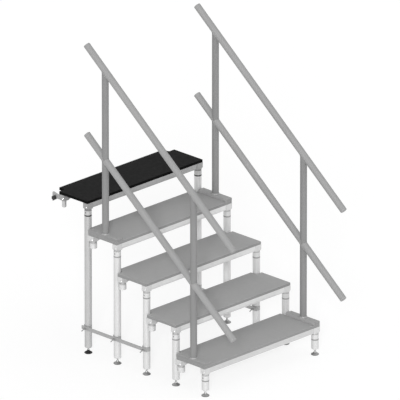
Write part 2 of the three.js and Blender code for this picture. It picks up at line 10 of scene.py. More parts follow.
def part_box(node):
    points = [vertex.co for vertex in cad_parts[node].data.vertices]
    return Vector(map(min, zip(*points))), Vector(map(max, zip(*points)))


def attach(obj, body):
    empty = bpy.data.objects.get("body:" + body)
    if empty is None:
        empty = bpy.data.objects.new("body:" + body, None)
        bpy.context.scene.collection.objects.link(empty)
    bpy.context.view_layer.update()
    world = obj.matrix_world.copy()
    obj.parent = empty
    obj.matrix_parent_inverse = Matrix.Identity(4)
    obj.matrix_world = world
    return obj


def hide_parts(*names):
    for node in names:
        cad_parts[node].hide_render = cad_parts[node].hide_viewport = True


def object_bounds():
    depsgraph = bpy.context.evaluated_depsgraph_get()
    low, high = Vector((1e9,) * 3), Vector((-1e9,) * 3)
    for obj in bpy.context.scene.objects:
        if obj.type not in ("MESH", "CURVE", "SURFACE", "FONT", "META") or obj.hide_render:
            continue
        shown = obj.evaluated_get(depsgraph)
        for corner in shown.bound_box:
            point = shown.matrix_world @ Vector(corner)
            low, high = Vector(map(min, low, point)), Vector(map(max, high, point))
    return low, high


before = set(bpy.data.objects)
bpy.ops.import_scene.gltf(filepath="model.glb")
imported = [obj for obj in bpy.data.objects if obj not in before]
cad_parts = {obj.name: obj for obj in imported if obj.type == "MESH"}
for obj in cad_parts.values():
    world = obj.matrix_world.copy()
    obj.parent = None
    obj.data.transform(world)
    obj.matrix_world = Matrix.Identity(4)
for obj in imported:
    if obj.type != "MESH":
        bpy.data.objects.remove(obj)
cad_low, cad_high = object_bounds()

STAIRS = "stairs"
SIDES = ("left", "right")
OUTWARD = {"left": -1, "right": 1}
STEPS = (1, 2, 3, 4, 5)
TOP_STEP = 5
TIED_STEPS = (3, 4, 5)
POST_STEPS = {"lower": 1, "upper": 4}

# Sizes are in metres. First the tread boards
BOARD_NOSE = 0.019
BOARD_SIDE_OVERHANG = 0.023
BOARD_LAP = 0.022
BOARD_EDGE_ROUND = 0.0022
LEG_NOTCH_GAP = 0.002
LEG_NOTCH_ROUND = 0.010
LEG_NOTCH_STEPS = 10

# Tread frames
RAIL_HEIGHT = 0.036
RAIL_DEPTH = 0.030
RAIL_WALL = 0.003
RAIL_GROOVE_DROP = 0.0205
RAIL_GROOVE_WIDTH = 0.0034
RAIL_GROOVE_DEPTH = 0.0014
RAIL_LEAN = 0.0014
RAIL_EDGE_ROUND = 0.0007
RAIL_SEAT = 0.001
CROSS_MEMBERS = 4
CROSS_WIDTH = 0.025
CROSS_EDGE_ROUND = 0.001
CASTING_WIDTH = 0.050
CASTING_DEPTH = 0.038
CASTING_HEIGHT = 0.040
CASTING_CHAMFER = 0.008
CASTING_EDGE_ROUND = 0.0022
SLEEVE_LENGTH = 0.042
NECK_RADIUS = 0.0215
NECK_HEIGHT = 0.009
SLEEVE_EDGE_ROUND = 0.0008
STUB_CAP_WIDTH = 0.003
STUB_CAP_DEPTH = 0.0015
SADDLE_WIDTH = 0.038
SADDLE_BITE = 0.003
SADDLE_DROP = 0.004
SADDLE_WRAP = 0.010
SADDLE_CLEARANCE = 0.0003
REAR_CASTING_BACK = 0.204

# Fasteners in the castings
BOLT_RADIUS = 0.006
BOLT_SEAT_RADIUS = 0.0076
BOLT_SEAT_DEPTH = 0.0042
BOLT_AHEAD = 0.008
BOLT_DROP = 0.043
SCREW_LENGTH = 0.0036
SCREW_CHAMFER = 0.0009
KEY_ACROSS = 0.0055
KEY_DEPTH = 0.0024
LOCK_RADIUS = 0.0042
LOCK_DEPTH = 0.0045
LOCK_DROP = 0.079
LOCK_SCREW_RADIUS = 0.0036

# Legs and feet
LEG_RADIUS = 0.0225
LEG_CHAMFER = 0.002
GASKET_HEIGHT = 0.009
GASKET_OVERLAP = 0.006
GASKET_RADIUS = 0.023
GASKET_ROUND = 0.0008
GASKET_BITE = 0.0006
SPIGOT_RADIUS = 0.0187
SPIGOT_LENGTH = 0.060
PLUG_RADIUS = 0.0192
PLUG_RECESS = 0.0012
SPINDLE_BORE = 0.0053
SPINDLE_BORE_DEPTH = 0.072
SPINDLE_RADIUS = 0.005
SPINDLE_TOP = 0.109
SPINDLE_ROOT = 0.022
THREAD_PITCH = 0.002
THREAD_DEPTH = 0.0007
THREAD_ROWS = 4
THREAD_FACES = 16
FOOT_RADIUS = 0.0245
FOOT_ROUND = 0.0015
FOOT_RIM = 0.0055
FOOT_PAD_HEIGHT = 0.003
FOOT_SHOULDER_RADIUS = 0.015
FOOT_SHOULDER_HEIGHT = 0.011
FOOT_NECK_RADIUS = 0.0075
FOOT_NECK_HEIGHT = 0.019
FOOT_TOP = 0.024
BELL_STEPS = 6

# Handrails
TUBE_RADIUS = 0.0212
TUBE_WALL = 0.003
TOP_RAIL_HEIGHT = 1.076
KNEE_RAIL_DROP = 0.577
RAIL_LEAD = 0.437
RAIL_TAIL = 0.2025
CAP_LENGTH = 0.006
CAP_SEAM = 0.0007
CAP_ROUND = 0.0018
CAP_PLUG = 0.018
WELD_RADIUS = 0.0020
WELD_RIPPLE_SHARE = 0.14
WELD_STEPS = 96
WELD_RIPPLE_STEPS = 3
WELD_FACES = 8
COLLAR_RADIUS = 0.0247
COLLAR_HEIGHT = 0.008
COLLAR_ROUND = 0.003
SHOE_WIDTH = 0.050
SHOE_HEIGHT = 0.018
SHOE_EDGE_ROUND = 0.002
SHOE_SCREW_RADIUS = 0.0055
SHOE_SCREW_INSET = 0.024
SHOE_SCREW_PROUD = 0.0006

# Tie bars and their levers
TIE_BAR_DEPTH = 0.023
TIE_BAR_THICKNESS = 0.006
TIE_FRONT_END = 0.029
TIE_REAR_END = 0.027
TIE_EDGE_ROUND = 0.0012
CLAW_CLEARANCE = 0.0003
CLAW_WALL = 0.004
CLAW_HEIGHT = 0.028
CLAW_REACH = math.radians(105)
CLAW_STEPS = 24
CLAW_EDGE_ROUND = 0.0009
WELD_BITE = 0.001
LEVER_DROP = 0.005
LEVER_BARREL_RADIUS = 0.005
LEVER_BARREL_HALF = 0.005
LEVER_PIN_RADIUS = 0.002
LEVER_PIN_HALF = 0.0093
LEVER_RIVET_RADIUS = 0.0032
LEVER_RIVET_HEIGHT = 0.0009
LEVER_HANDLE_RADIUS = 0.0035
LEVER_ROOT_RADIUS = 0.0027
LEVER_LENGTH = 0.024
LEVER_DROOP = math.radians(22)
LEVER_CLEARANCE = 0.0003
LUG_THICKNESS = 0.003
LUG_BEYOND = 0.004
LUG_HALF_HEIGHT = 0.005
LUG_STEPS = 8
LUG_EDGE_ROUND = 0.0004

# Couplers, their knobs and the coupling pins
COUPLER_ARM_WIDTH = 0.024
COUPLER_ARM_TOP = 0.035
COUPLER_ARM_HEIGHT = 0.027
COUPLER_ARM_LENGTH = 0.039
COUPLER_ARM_CHAMFER = 0.005
COUPLER_EDGE_ROUND = 0.0012
JAW_THICKNESS = 0.014
JAW_LENGTH = 0.037
JAW_TOP_RISE = 0.008
JAW_BOTTOM_DROP = 0.026
KNOB_RADIUS = 0.014
KNOB_LENGTH = 0.016
KNOB_LOBES = 6
KNOB_LOBE_DEPTH = 0.002
KNOB_POINTS = 72
KNOB_EDGE_ROUND = 0.0018
KNOB_SEAT = 0.0003
KNOB_SETBACK = 0.016
KNOB_DROP = 0.058
STUD_RADIUS = 0.004
STUD_PROUD = 0.004
PIN_RADIUS = 0.014
PIN_LENGTH = 0.046
PIN_SEAT = 0.020
PIN_TIP_ROUND = 0.009
PIN_TIP_STEPS = 6
PIN_GROOVE_DROP = 0.006
PIN_GROOVE = 0.0012

# Fineness of the round pieces
ROUND_FACES = 48
SMALL_ROUND_FACES = 24
ROUND_STEPS = 3
SHARP_ABOVE = math.radians(32)
OVERRUN = 0.005


def middle(node):
    low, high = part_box(node)
    return (low + high) / 2


# Places, read from the frame
LEG_X = {side: middle(f"leg_{side}_1").x for side in SIDES}
MIDDLE_X = (LEG_X["left"] + LEG_X["right"]) / 2
HALF_SPACING = (LEG_X["right"] - LEG_X["left"]) / 2
LEG_Y = {step: middle(f"leg_left_{step}").y for step in STEPS}
TREAD_Z = {step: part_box(f"tread_board_{step}")[1].z for step in STEPS}
FLOOR_Z = cad_low.z
GOING = LEG_Y[2] - LEG_Y[1]
RISE = TREAD_Z[2] - TREAD_Z[1]
SLOPE = math.atan2(RISE, GOING)
BOARD_THICKNESS = TREAD_Z[1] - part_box("tread_board_1")[0].z
LEG_FOOT_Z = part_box("leg_left_1")[0].z
TIE_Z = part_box("tie_bar_left")[0].z + CLAW_HEIGHT / 2
POST_Y = {name: middle(f"post_left_{name}").y for name in POST_STEPS}
POST_SETBACK = POST_Y["lower"] - LEG_Y[1]
HALF_BOARD = HALF_SPACING + BOARD_SIDE_OVERHANG
BOARD_NOTCH_X = HALF_SPACING - LEG_RADIUS - LEG_NOTCH_GAP
BOARD_SIDE_END = GOING - LEG_RADIUS - LEG_NOTCH_GAP
TOP_CASTING_REAR = REAR_CASTING_BACK + CASTING_DEPTH / 2
# Heights from a tread's top
CASTING_BOTTOM = -BOARD_THICKNESS - CASTING_HEIGHT
SLEEVE_BOTTOM = CASTING_BOTTOM - SLEEVE_LENGTH
# The handrails' slope
UP_SLOPE = Vector((0, math.cos(SLOPE), math.sin(SLOPE)))
DOWN_FROM_SLOPE = Vector((0, math.sin(SLOPE), -math.cos(SLOPE)))
SLOPED_SPAN = (POST_Y["upper"] - POST_Y["lower"]) / math.cos(SLOPE)
RAIL_LENGTH = RAIL_LEAD + SLOPED_SPAN + RAIL_TAIL
# Distances from a leg's axis, out to the lever's pivot
CLAW_INNER = LEG_RADIUS + CLAW_CLEARANCE
CLAW_OUTER = CLAW_INNER + CLAW_WALL
TIE_INNER_X = CLAW_OUTER - WELD_BITE
TIE_OUTER_X = TIE_INNER_X + TIE_BAR_THICKNESS
LEVER_PIVOT_X = TIE_OUTER_X + LEVER_CLEARANCE + LEVER_BARREL_RADIUS


def grey(level):
    """The colour that renders at a level from 0 to 255."""
    share = level / 255
    value = share / 12.92 if share <= 0.04045 else ((share + 0.055) / 1.055) ** 2.4
    return (value, value, value, 1.0)


def feed(tree, socket, value):
    """Feeds a socket with a number or with another socket."""
    if isinstance(value, bpy.types.NodeSocket):
        tree.links.new(value, socket)
    else:
        socket.default_value = value


def put(tree, kind, feeds=None, **settings):
    """Adds a shader node and sets it. Its feeds go by a socket's name or number."""
    made = tree.nodes.new("ShaderNode" + kind)
    for name, value in settings.items():
        setattr(made, name, value)
    for name, value in (feeds or {}).items():
        sockets = [s for s in made.inputs if s.enabled]
        socket = sockets[name] if isinstance(name, int) else [s for s in sockets if s.name == name][0]
        feed(tree, socket, value)
    return made


def maths(tree, operation, *values):
    """A calculation on numbers or on other sockets."""
    return put(tree, "Math", dict(enumerate(values)), operation=operation).outputs[0]


def blended(tree, share, low, high, blend_type="MIX"):
    """Mixes two colours by a share."""
    feeds = {"Factor": share, "A": low, "B": high}
    made = put(tree, "Mix", feeds, data_type="RGBA", blend_type=blend_type)
    return [s for s in made.outputs if s.enabled][0]


def spread(tree, value, from_low, from_high, to_low=0.0, to_high=1.0):
    """Spreads a value from one range over another, and stops at its ends."""
    feeds = {
        "Value": value,
        "From Min": from_low,
        "From Max": from_high,
        "To Min": to_low,
        "To Max": to_high,
    }
    return put(tree, "MapRange", feeds).outputs[0]


def effect(name, inputs, outputs):
    """A shader node group with named inputs and outputs."""
    tree = bpy.data.node_groups.new(name, "ShaderNodeTree")
    for label, kind, start in inputs:
        socket = tree.interface.new_socket(label, in_out="INPUT", socket_type="NodeSocket" + kind)
        socket.default_value = start
    for label, kind in outputs:
        tree.interface.new_socket(label, in_out="OUTPUT", socket_type="NodeSocket" + kind)
    return tree, tree.nodes.new("NodeGroupInput").outputs, tree.nodes.new("NodeGroupOutput").inputs


def used(tree, group, **feeds):
    """Places an effect in a material. Underscores in a feed's name stand for spaces."""
    made = tree.nodes.new("ShaderNodeGroup")
    made.node_tree = group
    for name, value in feeds.items():
        feed(tree, made.inputs[name.replace("_", " ")], value)
    return made.outputs


def place_on_part(tree):
    """A point's place on the part at rest."""
    return put(tree, "TexCoord").outputs["Object"]


def one_axis(tree, vector, axis):
    return put(tree, "SeparateXYZ", {0: vector}).outputs[axis]


def true_normal(tree):
    return put(tree, "NewGeometry").outputs["Normal"]


def noise(tree, place, fineness, detail, **feeds):
    """Cloudy noise from 0 to 1."""
    feeds = {"Vector": place, "Scale": fineness, "Detail": detail, **feeds}
    return put(tree, "TexNoise", feeds).outputs[0]


# Where most of a noise's values lie
NOISE_RANGE = (0.3, 0.7)


def make_grain():
    """Uneven tone along a stretched grain, with a height to match."""
    tree, given, result = effect(
        "surface_grain",
        [("Fineness", "Float", 100.0), ("Stretch", "Vector", (1, 1, 1)), ("Contrast", "Float", 0.05)],
        [("Tone", "Float"), ("Height", "Float")],
    )
    place = place_on_part(tree)
    stretched = put(tree, "VectorMath", {0: place, 1: given["Stretch"]}, operation="MULTIPLY").outputs[0]
    grain = noise(tree, stretched, given["Fineness"], 5.0, Roughness=0.6)
    darkest = maths(tree, "SUBTRACT", 1.0, given["Contrast"])
    lightest = maths(tree, "ADD", 1.0, given["Contrast"])
    tree.links.new(spread(tree, grain, *NOISE_RANGE, darkest, lightest), result["Tone"])
    tree.links.new(grain, result["Height"])
    return tree


def make_edge_wear():
    """Broken wear along the edges of a piece."""
    tree, given, result = effect(
        "edge_wear",
        [("Reach", "Float", 0.002), ("Amount", "Float", 0.5), ("Fineness", "Float", 60.0)],
        [("Wear", "Float")],
    )
    rounded = put(tree, "Bevel", {"Radius": given["Reach"]}, samples=4).outputs[0]
    feeds = {0: rounded, 1: true_normal(tree)}
    facing = put(tree, "VectorMath", feeds, operation="DOT_PRODUCT").outputs["Value"]
    edge = spread(tree, facing, 0.97, 0.80)
    patches = spread(tree, noise(tree, place_on_part(tree), given["Fineness"], 4.0), 0.42, 0.62)
    broken = maths(tree, "MULTIPLY", edge, patches)
    tree.links.new(maths(tree, "MULTIPLY", broken, given["Amount"]), result["Wear"])
    return tree


def make_dust():
    """Dust that gathers on what faces up and low down by the floor."""
    tree, given, result = effect("settled_dust", [("Amount", "Float", 0.3)], [("Dust", "Float")])
    upward = spread(tree, one_axis(tree, true_normal(tree), "Z"), 0.2, 1.0, 0.25, 1.0)
    place = place_on_part(tree)
    low_down = spread(tree, one_axis(tree, place, "Z"), 0.02, 0.35, 1.0, 0.35)
    patches = spread(tree, noise(tree, place, 9.0, 6.0, Roughness=0.62), 0.38, 0.72)
    settled = maths(tree, "MULTIPLY", maths(tree, "MULTIPLY", upward, low_down), patches)
    tree.links.new(maths(tree, "MULTIPLY", settled, given["Amount"]), result["Dust"])
    return tree


def make_scuffs():
    """Short rubbed marks, crossing at two angles."""
    tree, given, result = effect(
        "scuffs",
        [("Fineness", "Float", 30.0), ("Amount", "Float", 0.3)],
        [("Scuff", "Float")],
    )
    place = place_on_part(tree)
    marks = []
    for turn, stretch in ((0.5, (0.12, 1.0, 0.5)), (-0.9, (0.5, 0.10, 1.0))):
        feeds = {"Vector": place, "Rotation": (0.0, 0.0, turn), "Scale": stretch}
        turned = put(tree, "Mapping", feeds).outputs[0]
        marks.append(spread(tree, noise(tree, turned, given["Fineness"], 6.0, Roughness=0.7), 0.60, 0.72))
    either = maths(tree, "MAXIMUM", *marks)
    tree.links.new(maths(tree, "MULTIPLY", either, given["Amount"]), result["Scuff"])
    return tree


def make_painted_light_inner_side():
    """The upright faces that look towards the middle of the stairs: the mask for painted fill light on them.
    """
    tree, given, result = effect(
        "painted_light_inner_side", [("From Middle", "Float", 0.2)], [("Facing Inward", "Float")]
    )
    place = one_axis(tree, place_on_part(tree), "X")
    normal = one_axis(tree, true_normal(tree), "X")
    painted_light_inward = maths(tree, "MULTIPLY", maths(tree, "MULTIPLY", place, normal), -1.0)
    tree.links.new(maths(tree, "GREATER_THAN", painted_light_inward, given["From Middle"]), result["Facing Inward"])
    return tree


def wave(tree, along, pitch):
    """Ridges at a pitch, from 0 to 1."""
    turns = maths(tree, "DIVIDE", 2 * math.pi, pitch)
    return maths(tree, "ABSOLUTE", maths(tree, "SINE", maths(tree, "MULTIPLY", along, turns)))


def make_grip_print():
    """The pressed wire mesh of a non-slip board, on the faces that point up."""
    tree, given, result = effect(
        "grip_print", [("Pitch", "Float", 0.004)], [("Height", "Float"), ("Facing Up", "Float")]
    )
    place = place_on_part(tree)
    x, y = (one_axis(tree, place, axis) for axis in "XY")
    waves = [wave(tree, maths(tree, operation, x, y), given["Pitch"]) for operation in ("ADD", "SUBTRACT")]
    wires = maths(tree, "MINIMUM", *waves)
    facing = spread(tree, one_axis(tree, true_normal(tree), "Z"), 0.45, 0.8)
    tree.links.new(maths(tree, "MULTIPLY", wires, facing), result["Height"])
    # Facing Up is also the mask for a board's lighter painted top, which is painted light
    tree.links.new(facing, result["Facing Up"])
    return tree


def make_ply_lines():
    """The veneers of a plywood edge, felt through its paint."""
    tree, given, result = effect("ply_lines", [("Veneer", "Float", 0.0016)], [("Height", "Float")])
    line = wave(tree, one_axis(tree, place_on_part(tree), "Z"), given["Veneer"])
    side = spread(tree, maths(tree, "ABSOLUTE", one_axis(tree, true_normal(tree), "Z")), 0.5, 0.2)
    tree.links.new(maths(tree, "MULTIPLY", line, side), result["Height"])
    return tree


GRAIN = make_grain()
EDGE_WEAR = make_edge_wear()
DUST = make_dust()
SCUFFS = make_scuffs()
PAINTED_LIGHT_INNER_SIDE = make_painted_light_inner_side()
GRIP_PRINT = make_grip_print()
PLY_LINES = make_ply_lines()
DUST_COLOUR = grey(176)
# The lightest level that a rubbed edge reaches
LIGHTEST = 250


def new_finish(name, **settings):
    """A material and its shader. Underscores in a setting's name stand for spaces."""
    material = bpy.data.materials.new(name)
    material.use_nodes = True
    tree = material.node_tree
    tree.nodes.clear()
    surface = put(tree, "BsdfPrincipled")
    for label, value in settings.items():
        surface.inputs[label.replace("_", " ")].default_value = value
    put(tree, "OutputMaterial", {"Surface": surface.outputs[0]})
    return material, tree, surface


def varied(tree, colour, *tones):
    """A colour made lighter and darker by tones about 1."""
    for tone in tones:
        colour = blended(tree, 1.0, colour, tone, "MULTIPLY")
    return colour


def rubbed(tree, colour, level, reach, amount, fineness):
    """A colour rubbed to another level along a piece's edges."""
    worn = used(tree, EDGE_WEAR, Reach=reach, Amount=amount, Fineness=fineness)["Wear"]
    return blended(tree, worn, colour, grey(level))


def dusted(tree, colour, amount):
    return blended(tree, used(tree, DUST, Amount=amount)["Dust"], colour, DUST_COLOUR)


def roughened(tree, height, smoothest, roughest):
    """A roughness that follows the height of a pattern."""
    return spread(tree, height, *NOISE_RANGE, smoothest, roughest)


def dressed(tree, surface, colour, roughness, height, depth, strength):
    """Gives a surface its colour, roughness and relief."""
    tree.links.new(colour, surface.inputs["Base Color"])
    tree.links.new(roughness, surface.inputs["Roughness"])
    feeds = {"Height": height, "Distance": depth, "Strength": strength}
    tree.links.new(put(tree, "Bump", feeds).outputs[0], surface.inputs["Normal"])


def board_coat(name, top, edge, inner, worn, dust, shine):
    """The coat of a non-slip plywood board: printed on top, smooth on its edges and inner sides. Its top is
    painted lighter than its edges as painted light, and its inner sides take a level of their own, painted
    lighter on the shoes as a painted fill light.
    """
    material, tree, surface = new_finish(name, Specular_IOR_Level=shine)
    mesh_print = used(tree, GRIP_PRINT, Pitch=0.0042)
    grain = used(tree, GRAIN, Fineness=38.0, Contrast=0.035)
    fine = used(tree, GRAIN, Fineness=700.0, Contrast=0.05)
    # Painted light: the upright faces towards the middle of the stairs take the inner level, lighter on the
    # shoes as a painted fill light
    painted_light_inward = used(tree, PAINTED_LIGHT_INNER_SIDE, From_Middle=0.2)["Facing Inward"]
    colour = blended(tree, painted_light_inward, grey(edge), grey(inner))
    # Painted light: faces that point up take the lighter top level, the edges the darker edge level
    colour = blended(tree, mesh_print["Facing Up"], colour, grey(top))
    colour = varied(tree, colour, grain["Tone"], fine["Tone"])
    colour = rubbed(tree, colour, worn, reach=0.0025, amount=0.35, fineness=45.0)
    scuffed = used(tree, SCUFFS, Fineness=16.0, Amount=0.10)["Scuff"]
    colour = blended(tree, scuffed, colour, grey(worn))
    colour = dusted(tree, colour, dust)
    roughness = roughened(tree, grain["Height"], 0.62, 0.78)
    ply = used(tree, PLY_LINES, Veneer=0.0016)["Height"]
    relief = maths(tree, "ADD", mesh_print["Height"], ply)
    relief = maths(tree, "ADD", relief, maths(tree, "MULTIPLY", fine["Height"], 0.4))
    dressed(tree, surface, colour, roughness, relief, depth=0.00025, strength=0.35)
    return material


def drawn_aluminium(name, level, stretch):
    """Extruded aluminium: fine lines along its length, and a few handling marks."""
    material, tree, surface = new_finish(name, Metallic=0.4)
    lines = used(tree, GRAIN, Fineness=420.0, Stretch=stretch, Contrast=0.035)
    cloud = used(tree, GRAIN, Fineness=7.0, Contrast=0.025)
    colour = varied(tree, grey(level), lines["Tone"], cloud["Tone"])
    colour = rubbed(tree, colour, min(level + 22, LIGHTEST), reach=0.0012, amount=0.5, fineness=70.0)
    scuffed = used(tree, SCUFFS, Fineness=22.0, Amount=0.12)["Scuff"]
    colour = blended(tree, scuffed, colour, grey(level - 34))
    colour = dusted(tree, colour, 0.12)
    roughness = maths(tree, "ADD", roughened(tree, lines["Height"], 0.38, 0.52), scuffed)
    dressed(tree, surface, colour, roughness, lines["Height"], depth=0.00008, strength=0.3)
    return material


def cast_aluminium(name, level):
    """Cast aluminium: a fine pebbled skin, brighter along its rubbed edges."""
    material, tree, surface = new_finish(name, Metallic=0.35)
    pebbles = used(tree, GRAIN, Fineness=900.0, Contrast=0.05)
    cloud = used(tree, GRAIN, Fineness=30.0, Contrast=0.04)
    colour = varied(tree, grey(level), pebbles["Tone"], cloud["Tone"])
    colour = rubbed(tree, colour, min(level + 20, LIGHTEST), reach=0.0022, amount=0.6, fineness=90.0)
    colour = dusted(tree, colour, 0.15)
    roughness = roughened(tree, cloud["Height"], 0.44, 0.6)
    dressed(tree, surface, colour, roughness, pebbles["Height"], depth=0.0002, strength=0.35)
    return material


def powder_coat(name, level, wear_level):
    """Powder coat on the handrail tubes: a faint orange peel, rubbed by hands."""
    material, tree, surface = new_finish(name, Specular_IOR_Level=0.2)
    peel = used(tree, GRAIN, Fineness=520.0, Contrast=0.02)
    cloud = used(tree, GRAIN, Fineness=5.0, Contrast=0.03)
    colour = varied(tree, grey(level), peel["Tone"], cloud["Tone"])
    colour = rubbed(tree, colour, wear_level, reach=0.0014, amount=0.5, fineness=80.0)
    scuffed = used(tree, SCUFFS, Fineness=14.0, Amount=0.10)["Scuff"]
    colour = blended(tree, scuffed, colour, grey(level - 22))
    roughness = maths(tree, "ADD", roughened(tree, cloud["Height"], 0.45, 0.57), scuffed)
    dressed(tree, surface, colour, roughness, peel["Height"], depth=0.0002, strength=0.25)
    return material


def zinc_plate(name, level):
    """Zinc plated steel: small crystals of slightly different greys."""
    material, tree, surface = new_finish(name, Metallic=0.75)
    feeds = {"Vector": place_on_part(tree), "Scale": 260.0}
    crystals = put(tree, "TexVoronoi", feeds, feature="F1").outputs["Color"]
    crystal_tone = spread(tree, put(tree, "RGBToBW", {0: crystals}).outputs[0], 0.2, 0.8, 0.93, 1.05)
    cloud = used(tree, GRAIN, Fineness=40.0, Contrast=0.05)
    colour = varied(tree, grey(level), crystal_tone, cloud["Tone"])
    colour = rubbed(tree, colour, min(level + 30, LIGHTEST), reach=0.0010, amount=0.6, fineness=120.0)
    colour = dusted(tree, colour, 0.2)
    roughness = roughened(tree, cloud["Height"], 0.34, 0.54)
    dressed(tree, surface, colour, roughness, cloud["Height"], depth=0.0002, strength=0.2)
    return material


def turned_steel(name, level, rough=0.3):
    """Machined steel: fine rings across a turned piece."""
    material, tree, surface = new_finish(name, Metallic=0.85)
    rings = used(tree, GRAIN, Fineness=900.0, Stretch=(0.15, 0.15, 3.0), Contrast=0.06)
    cloud = used(tree, GRAIN, Fineness=60.0, Contrast=0.05)
    colour = varied(tree, grey(level), rings["Tone"], cloud["Tone"])
    colour = rubbed(tree, colour, min(level + 30, LIGHTEST), reach=0.0010, amount=0.5, fineness=120.0)
    roughness = roughened(tree, cloud["Height"], rough - 0.06, rough + 0.1)
    dressed(tree, surface, colour, roughness, rings["Height"], depth=0.00006, strength=0.3)
    return material


def moulded(name, level, wear_level, dust=0.2):
    """Moulded plastic or rubber: a fine matt texture that greys where it is rubbed."""
    material, tree, surface = new_finish(name, Specular_IOR_Level=0.4)
    texture = used(tree, GRAIN, Fineness=1400.0, Contrast=0.08)
    cloud = used(tree, GRAIN, Fineness=50.0, Contrast=0.06)
    colour = varied(tree, grey(level), texture["Tone"], cloud["Tone"])
    colour = rubbed(tree, colour, wear_level, reach=0.0012, amount=0.5, fineness=110.0)
    colour = dusted(tree, colour, dust)
    roughness = roughened(tree, cloud["Height"], 0.5, 0.67)
    dressed(tree, surface, colour, roughness, texture["Height"], depth=0.00012, strength=0.4)
    return material


ALONG_X_GRAIN = (0.02, 1.0, 1.0)
ALONG_Y_GRAIN = (1.0, 0.02, 1.0)
ALONG_Z_GRAIN = (1.0, 1.0, 0.02)

FINISHES = {
    # Boards and shoes: tops painted lighter than edges, as painted light
    "grey_board": board_coat(
        "grey_board_coat_with_painted_light", top=165, edge=136, inner=136, worn=180, dust=0.08, shine=0.2
    ),
    "black_board": board_coat(
        "black_board_coat_with_painted_light", top=26, edge=8, inner=8, worn=50, dust=0.004, shine=0.05
    ),
    # The shoe's inner sides are painted lighter than its outer edges, a painted fill light where they sit in
    # shade
    "shoe": board_coat("grey_shoe_coat_with_painted_light", top=163, edge=135, inner=158, worn=176, dust=0.08, shine=0.2),
    "frame": drawn_aluminium("frame_aluminium", 219, ALONG_X_GRAIN),
    # Painted shade: the first tread's rails are the frame aluminium painted darker, as they catch more light
    # from the floor than the others
    "painted_shade_first_frame": drawn_aluminium("painted_shade_first_frame_aluminium", 200, ALONG_X_GRAIN),
    "top_frame": drawn_aluminium("top_frame_aluminium", 168, ALONG_X_GRAIN),
    "cross": drawn_aluminium("cross_member_aluminium", 210, ALONG_Y_GRAIN),
    "casting": cast_aluminium("cast_aluminium", 203),
    "top_casting": cast_aluminium("top_cast_aluminium", 154),
    "sleeve": cast_aluminium("sleeve_aluminium", 205),
    "top_sleeve": cast_aluminium("top_sleeve_aluminium", 180),
    # Painted shade: the necks are the cast aluminium painted darker, for the shade under each casting
    "neck": cast_aluminium("neck_aluminium_painted_shade", 172),
    "top_neck": cast_aluminium("top_neck_aluminium_painted_shade", 122),
    "leg": drawn_aluminium("leg_aluminium", 208, ALONG_Z_GRAIN),
    "top_leg": drawn_aluminium("top_leg_aluminium", 182, ALONG_Z_GRAIN),
    "gasket": moulded("grey_gasket", 140, 170),
    "black_gasket": moulded("black_gasket", 34, 70),
    # Painted light: posts and rails are the same powder coat, the upright posts painted darker and the
    # sloping rails lighter for how light falls on them
    "post": powder_coat("post_grey_coat_painted_shade", 129, 154),
    "rail": powder_coat("rail_grey_coat_painted_light", 148, 166),
    "cap": moulded("rail_cap_plastic", 150, 170),
    "collar": cast_aluminium("collar_aluminium", 160),
    "foot": zinc_plate("foot_steel", 150),
    "black_foot": moulded("black_foot_plastic", 8, 40, dust=0.02),
    "spindle": turned_steel("spindle_steel", 165),
    "pad": moulded("foot_pad_rubber", 60, 90),
    "tie": zinc_plate("tie_bar_zinc", 173),
    "lever": zinc_plate("lever_zinc", 160),
    "coupler": zinc_plate("coupler_zinc", 172),
    "knob": moulded("knob_black_plastic", 36, 76, dust=0.08),
    "pin": turned_steel("coupling_pin_steel", 200),
    "bolt": turned_steel("bolt_steel", 245, rough=0.22),
    "lock": turned_steel("lock_screw_steel", 120),
}

# Ways to turn an outline raised along Z so that it runs along X or Y instead
ALONG_X = Matrix(((0, 0, 1, 0), (1, 0, 0, 0), (0, 1, 0, 0), (0, 0, 0, 1)))
ALONG_Y = Matrix(((1, 0, 0, 0), (0, 0, 1, 0), (0, 1, 0, 0), (0, 0, 0, 1)))
# Ways to lay a piece turned about Z along X, or up the slope
LAID_ALONG_X = Matrix.Rotation(math.pi / 2, 4, "Y")
LAID_ALONG_Y = Matrix.Rotation(-math.pi / 2, 4, "X")
UP_THE_SLOPE = Matrix((Vector((1, 0, 0)), DOWN_FROM_SLOPE, UP_SLOPE)).transposed().to_4x4()


def span(made, rows, is_loop=False):
    """Faces from each ring of points to the next. A row on the axis is a single point."""
    followers = rows[1:] + (rows[:1] if is_loop else [])
    for low, high in zip(rows, followers):
        count = max(len(low), len(high))
        for i in range(count):
            j = (i + 1) % count
            corners = (low[i % len(low)], low[j % len(low)], high[j % len(high)], high[i % len(high)])
            distinct = list(dict.fromkeys(corners))
            if len(distinct) > 2:
                made.faces.new(distinct)


def lathed(profile, faces=ROUND_FACES, ring=False):
    """Turns a profile of radius and height pairs about Z. A ring's profile closes on itself."""
    made = bmesh.new()
    rows = []
    for radius, height in profile:
        count = faces if radius else 1
        turns = [2 * math.pi * i / faces for i in range(count)]
        rows.append([made.verts.new((radius * math.cos(t), radius * math.sin(t), height)) for t in turns])
    span(made, rows, ring)
    return facing_out(made)


def rod(radius, low, high, faces=SMALL_ROUND_FACES):
    """A plain round bar about Z."""
    return lathed([(0, low), (radius, low), (radius, high), (0, high)], faces)


def raised(outline, low, high):
    """Raises a flat outline along Z."""
    made = bmesh.new()
    bottom = [made.verts.new((x, y, low)) for x, y in outline]
    top = [made.verts.new((x, y, high)) for x, y in outline]
    made.faces.new(bottom[::-1])
    made.faces.new(top)
    for i, corner in enumerate(bottom):
        j = (i + 1) % len(bottom)
        made.faces.new((corner, bottom[j], top[j], top[i]))
    return facing_out(made)


def facing_out(made):
    bmesh.ops.recalc_face_normals(made, faces=made.faces)
    return made


def moved(made, matrix):
    bmesh.ops.transform(made, matrix=matrix, verts=made.verts)
    return facing_out(made)


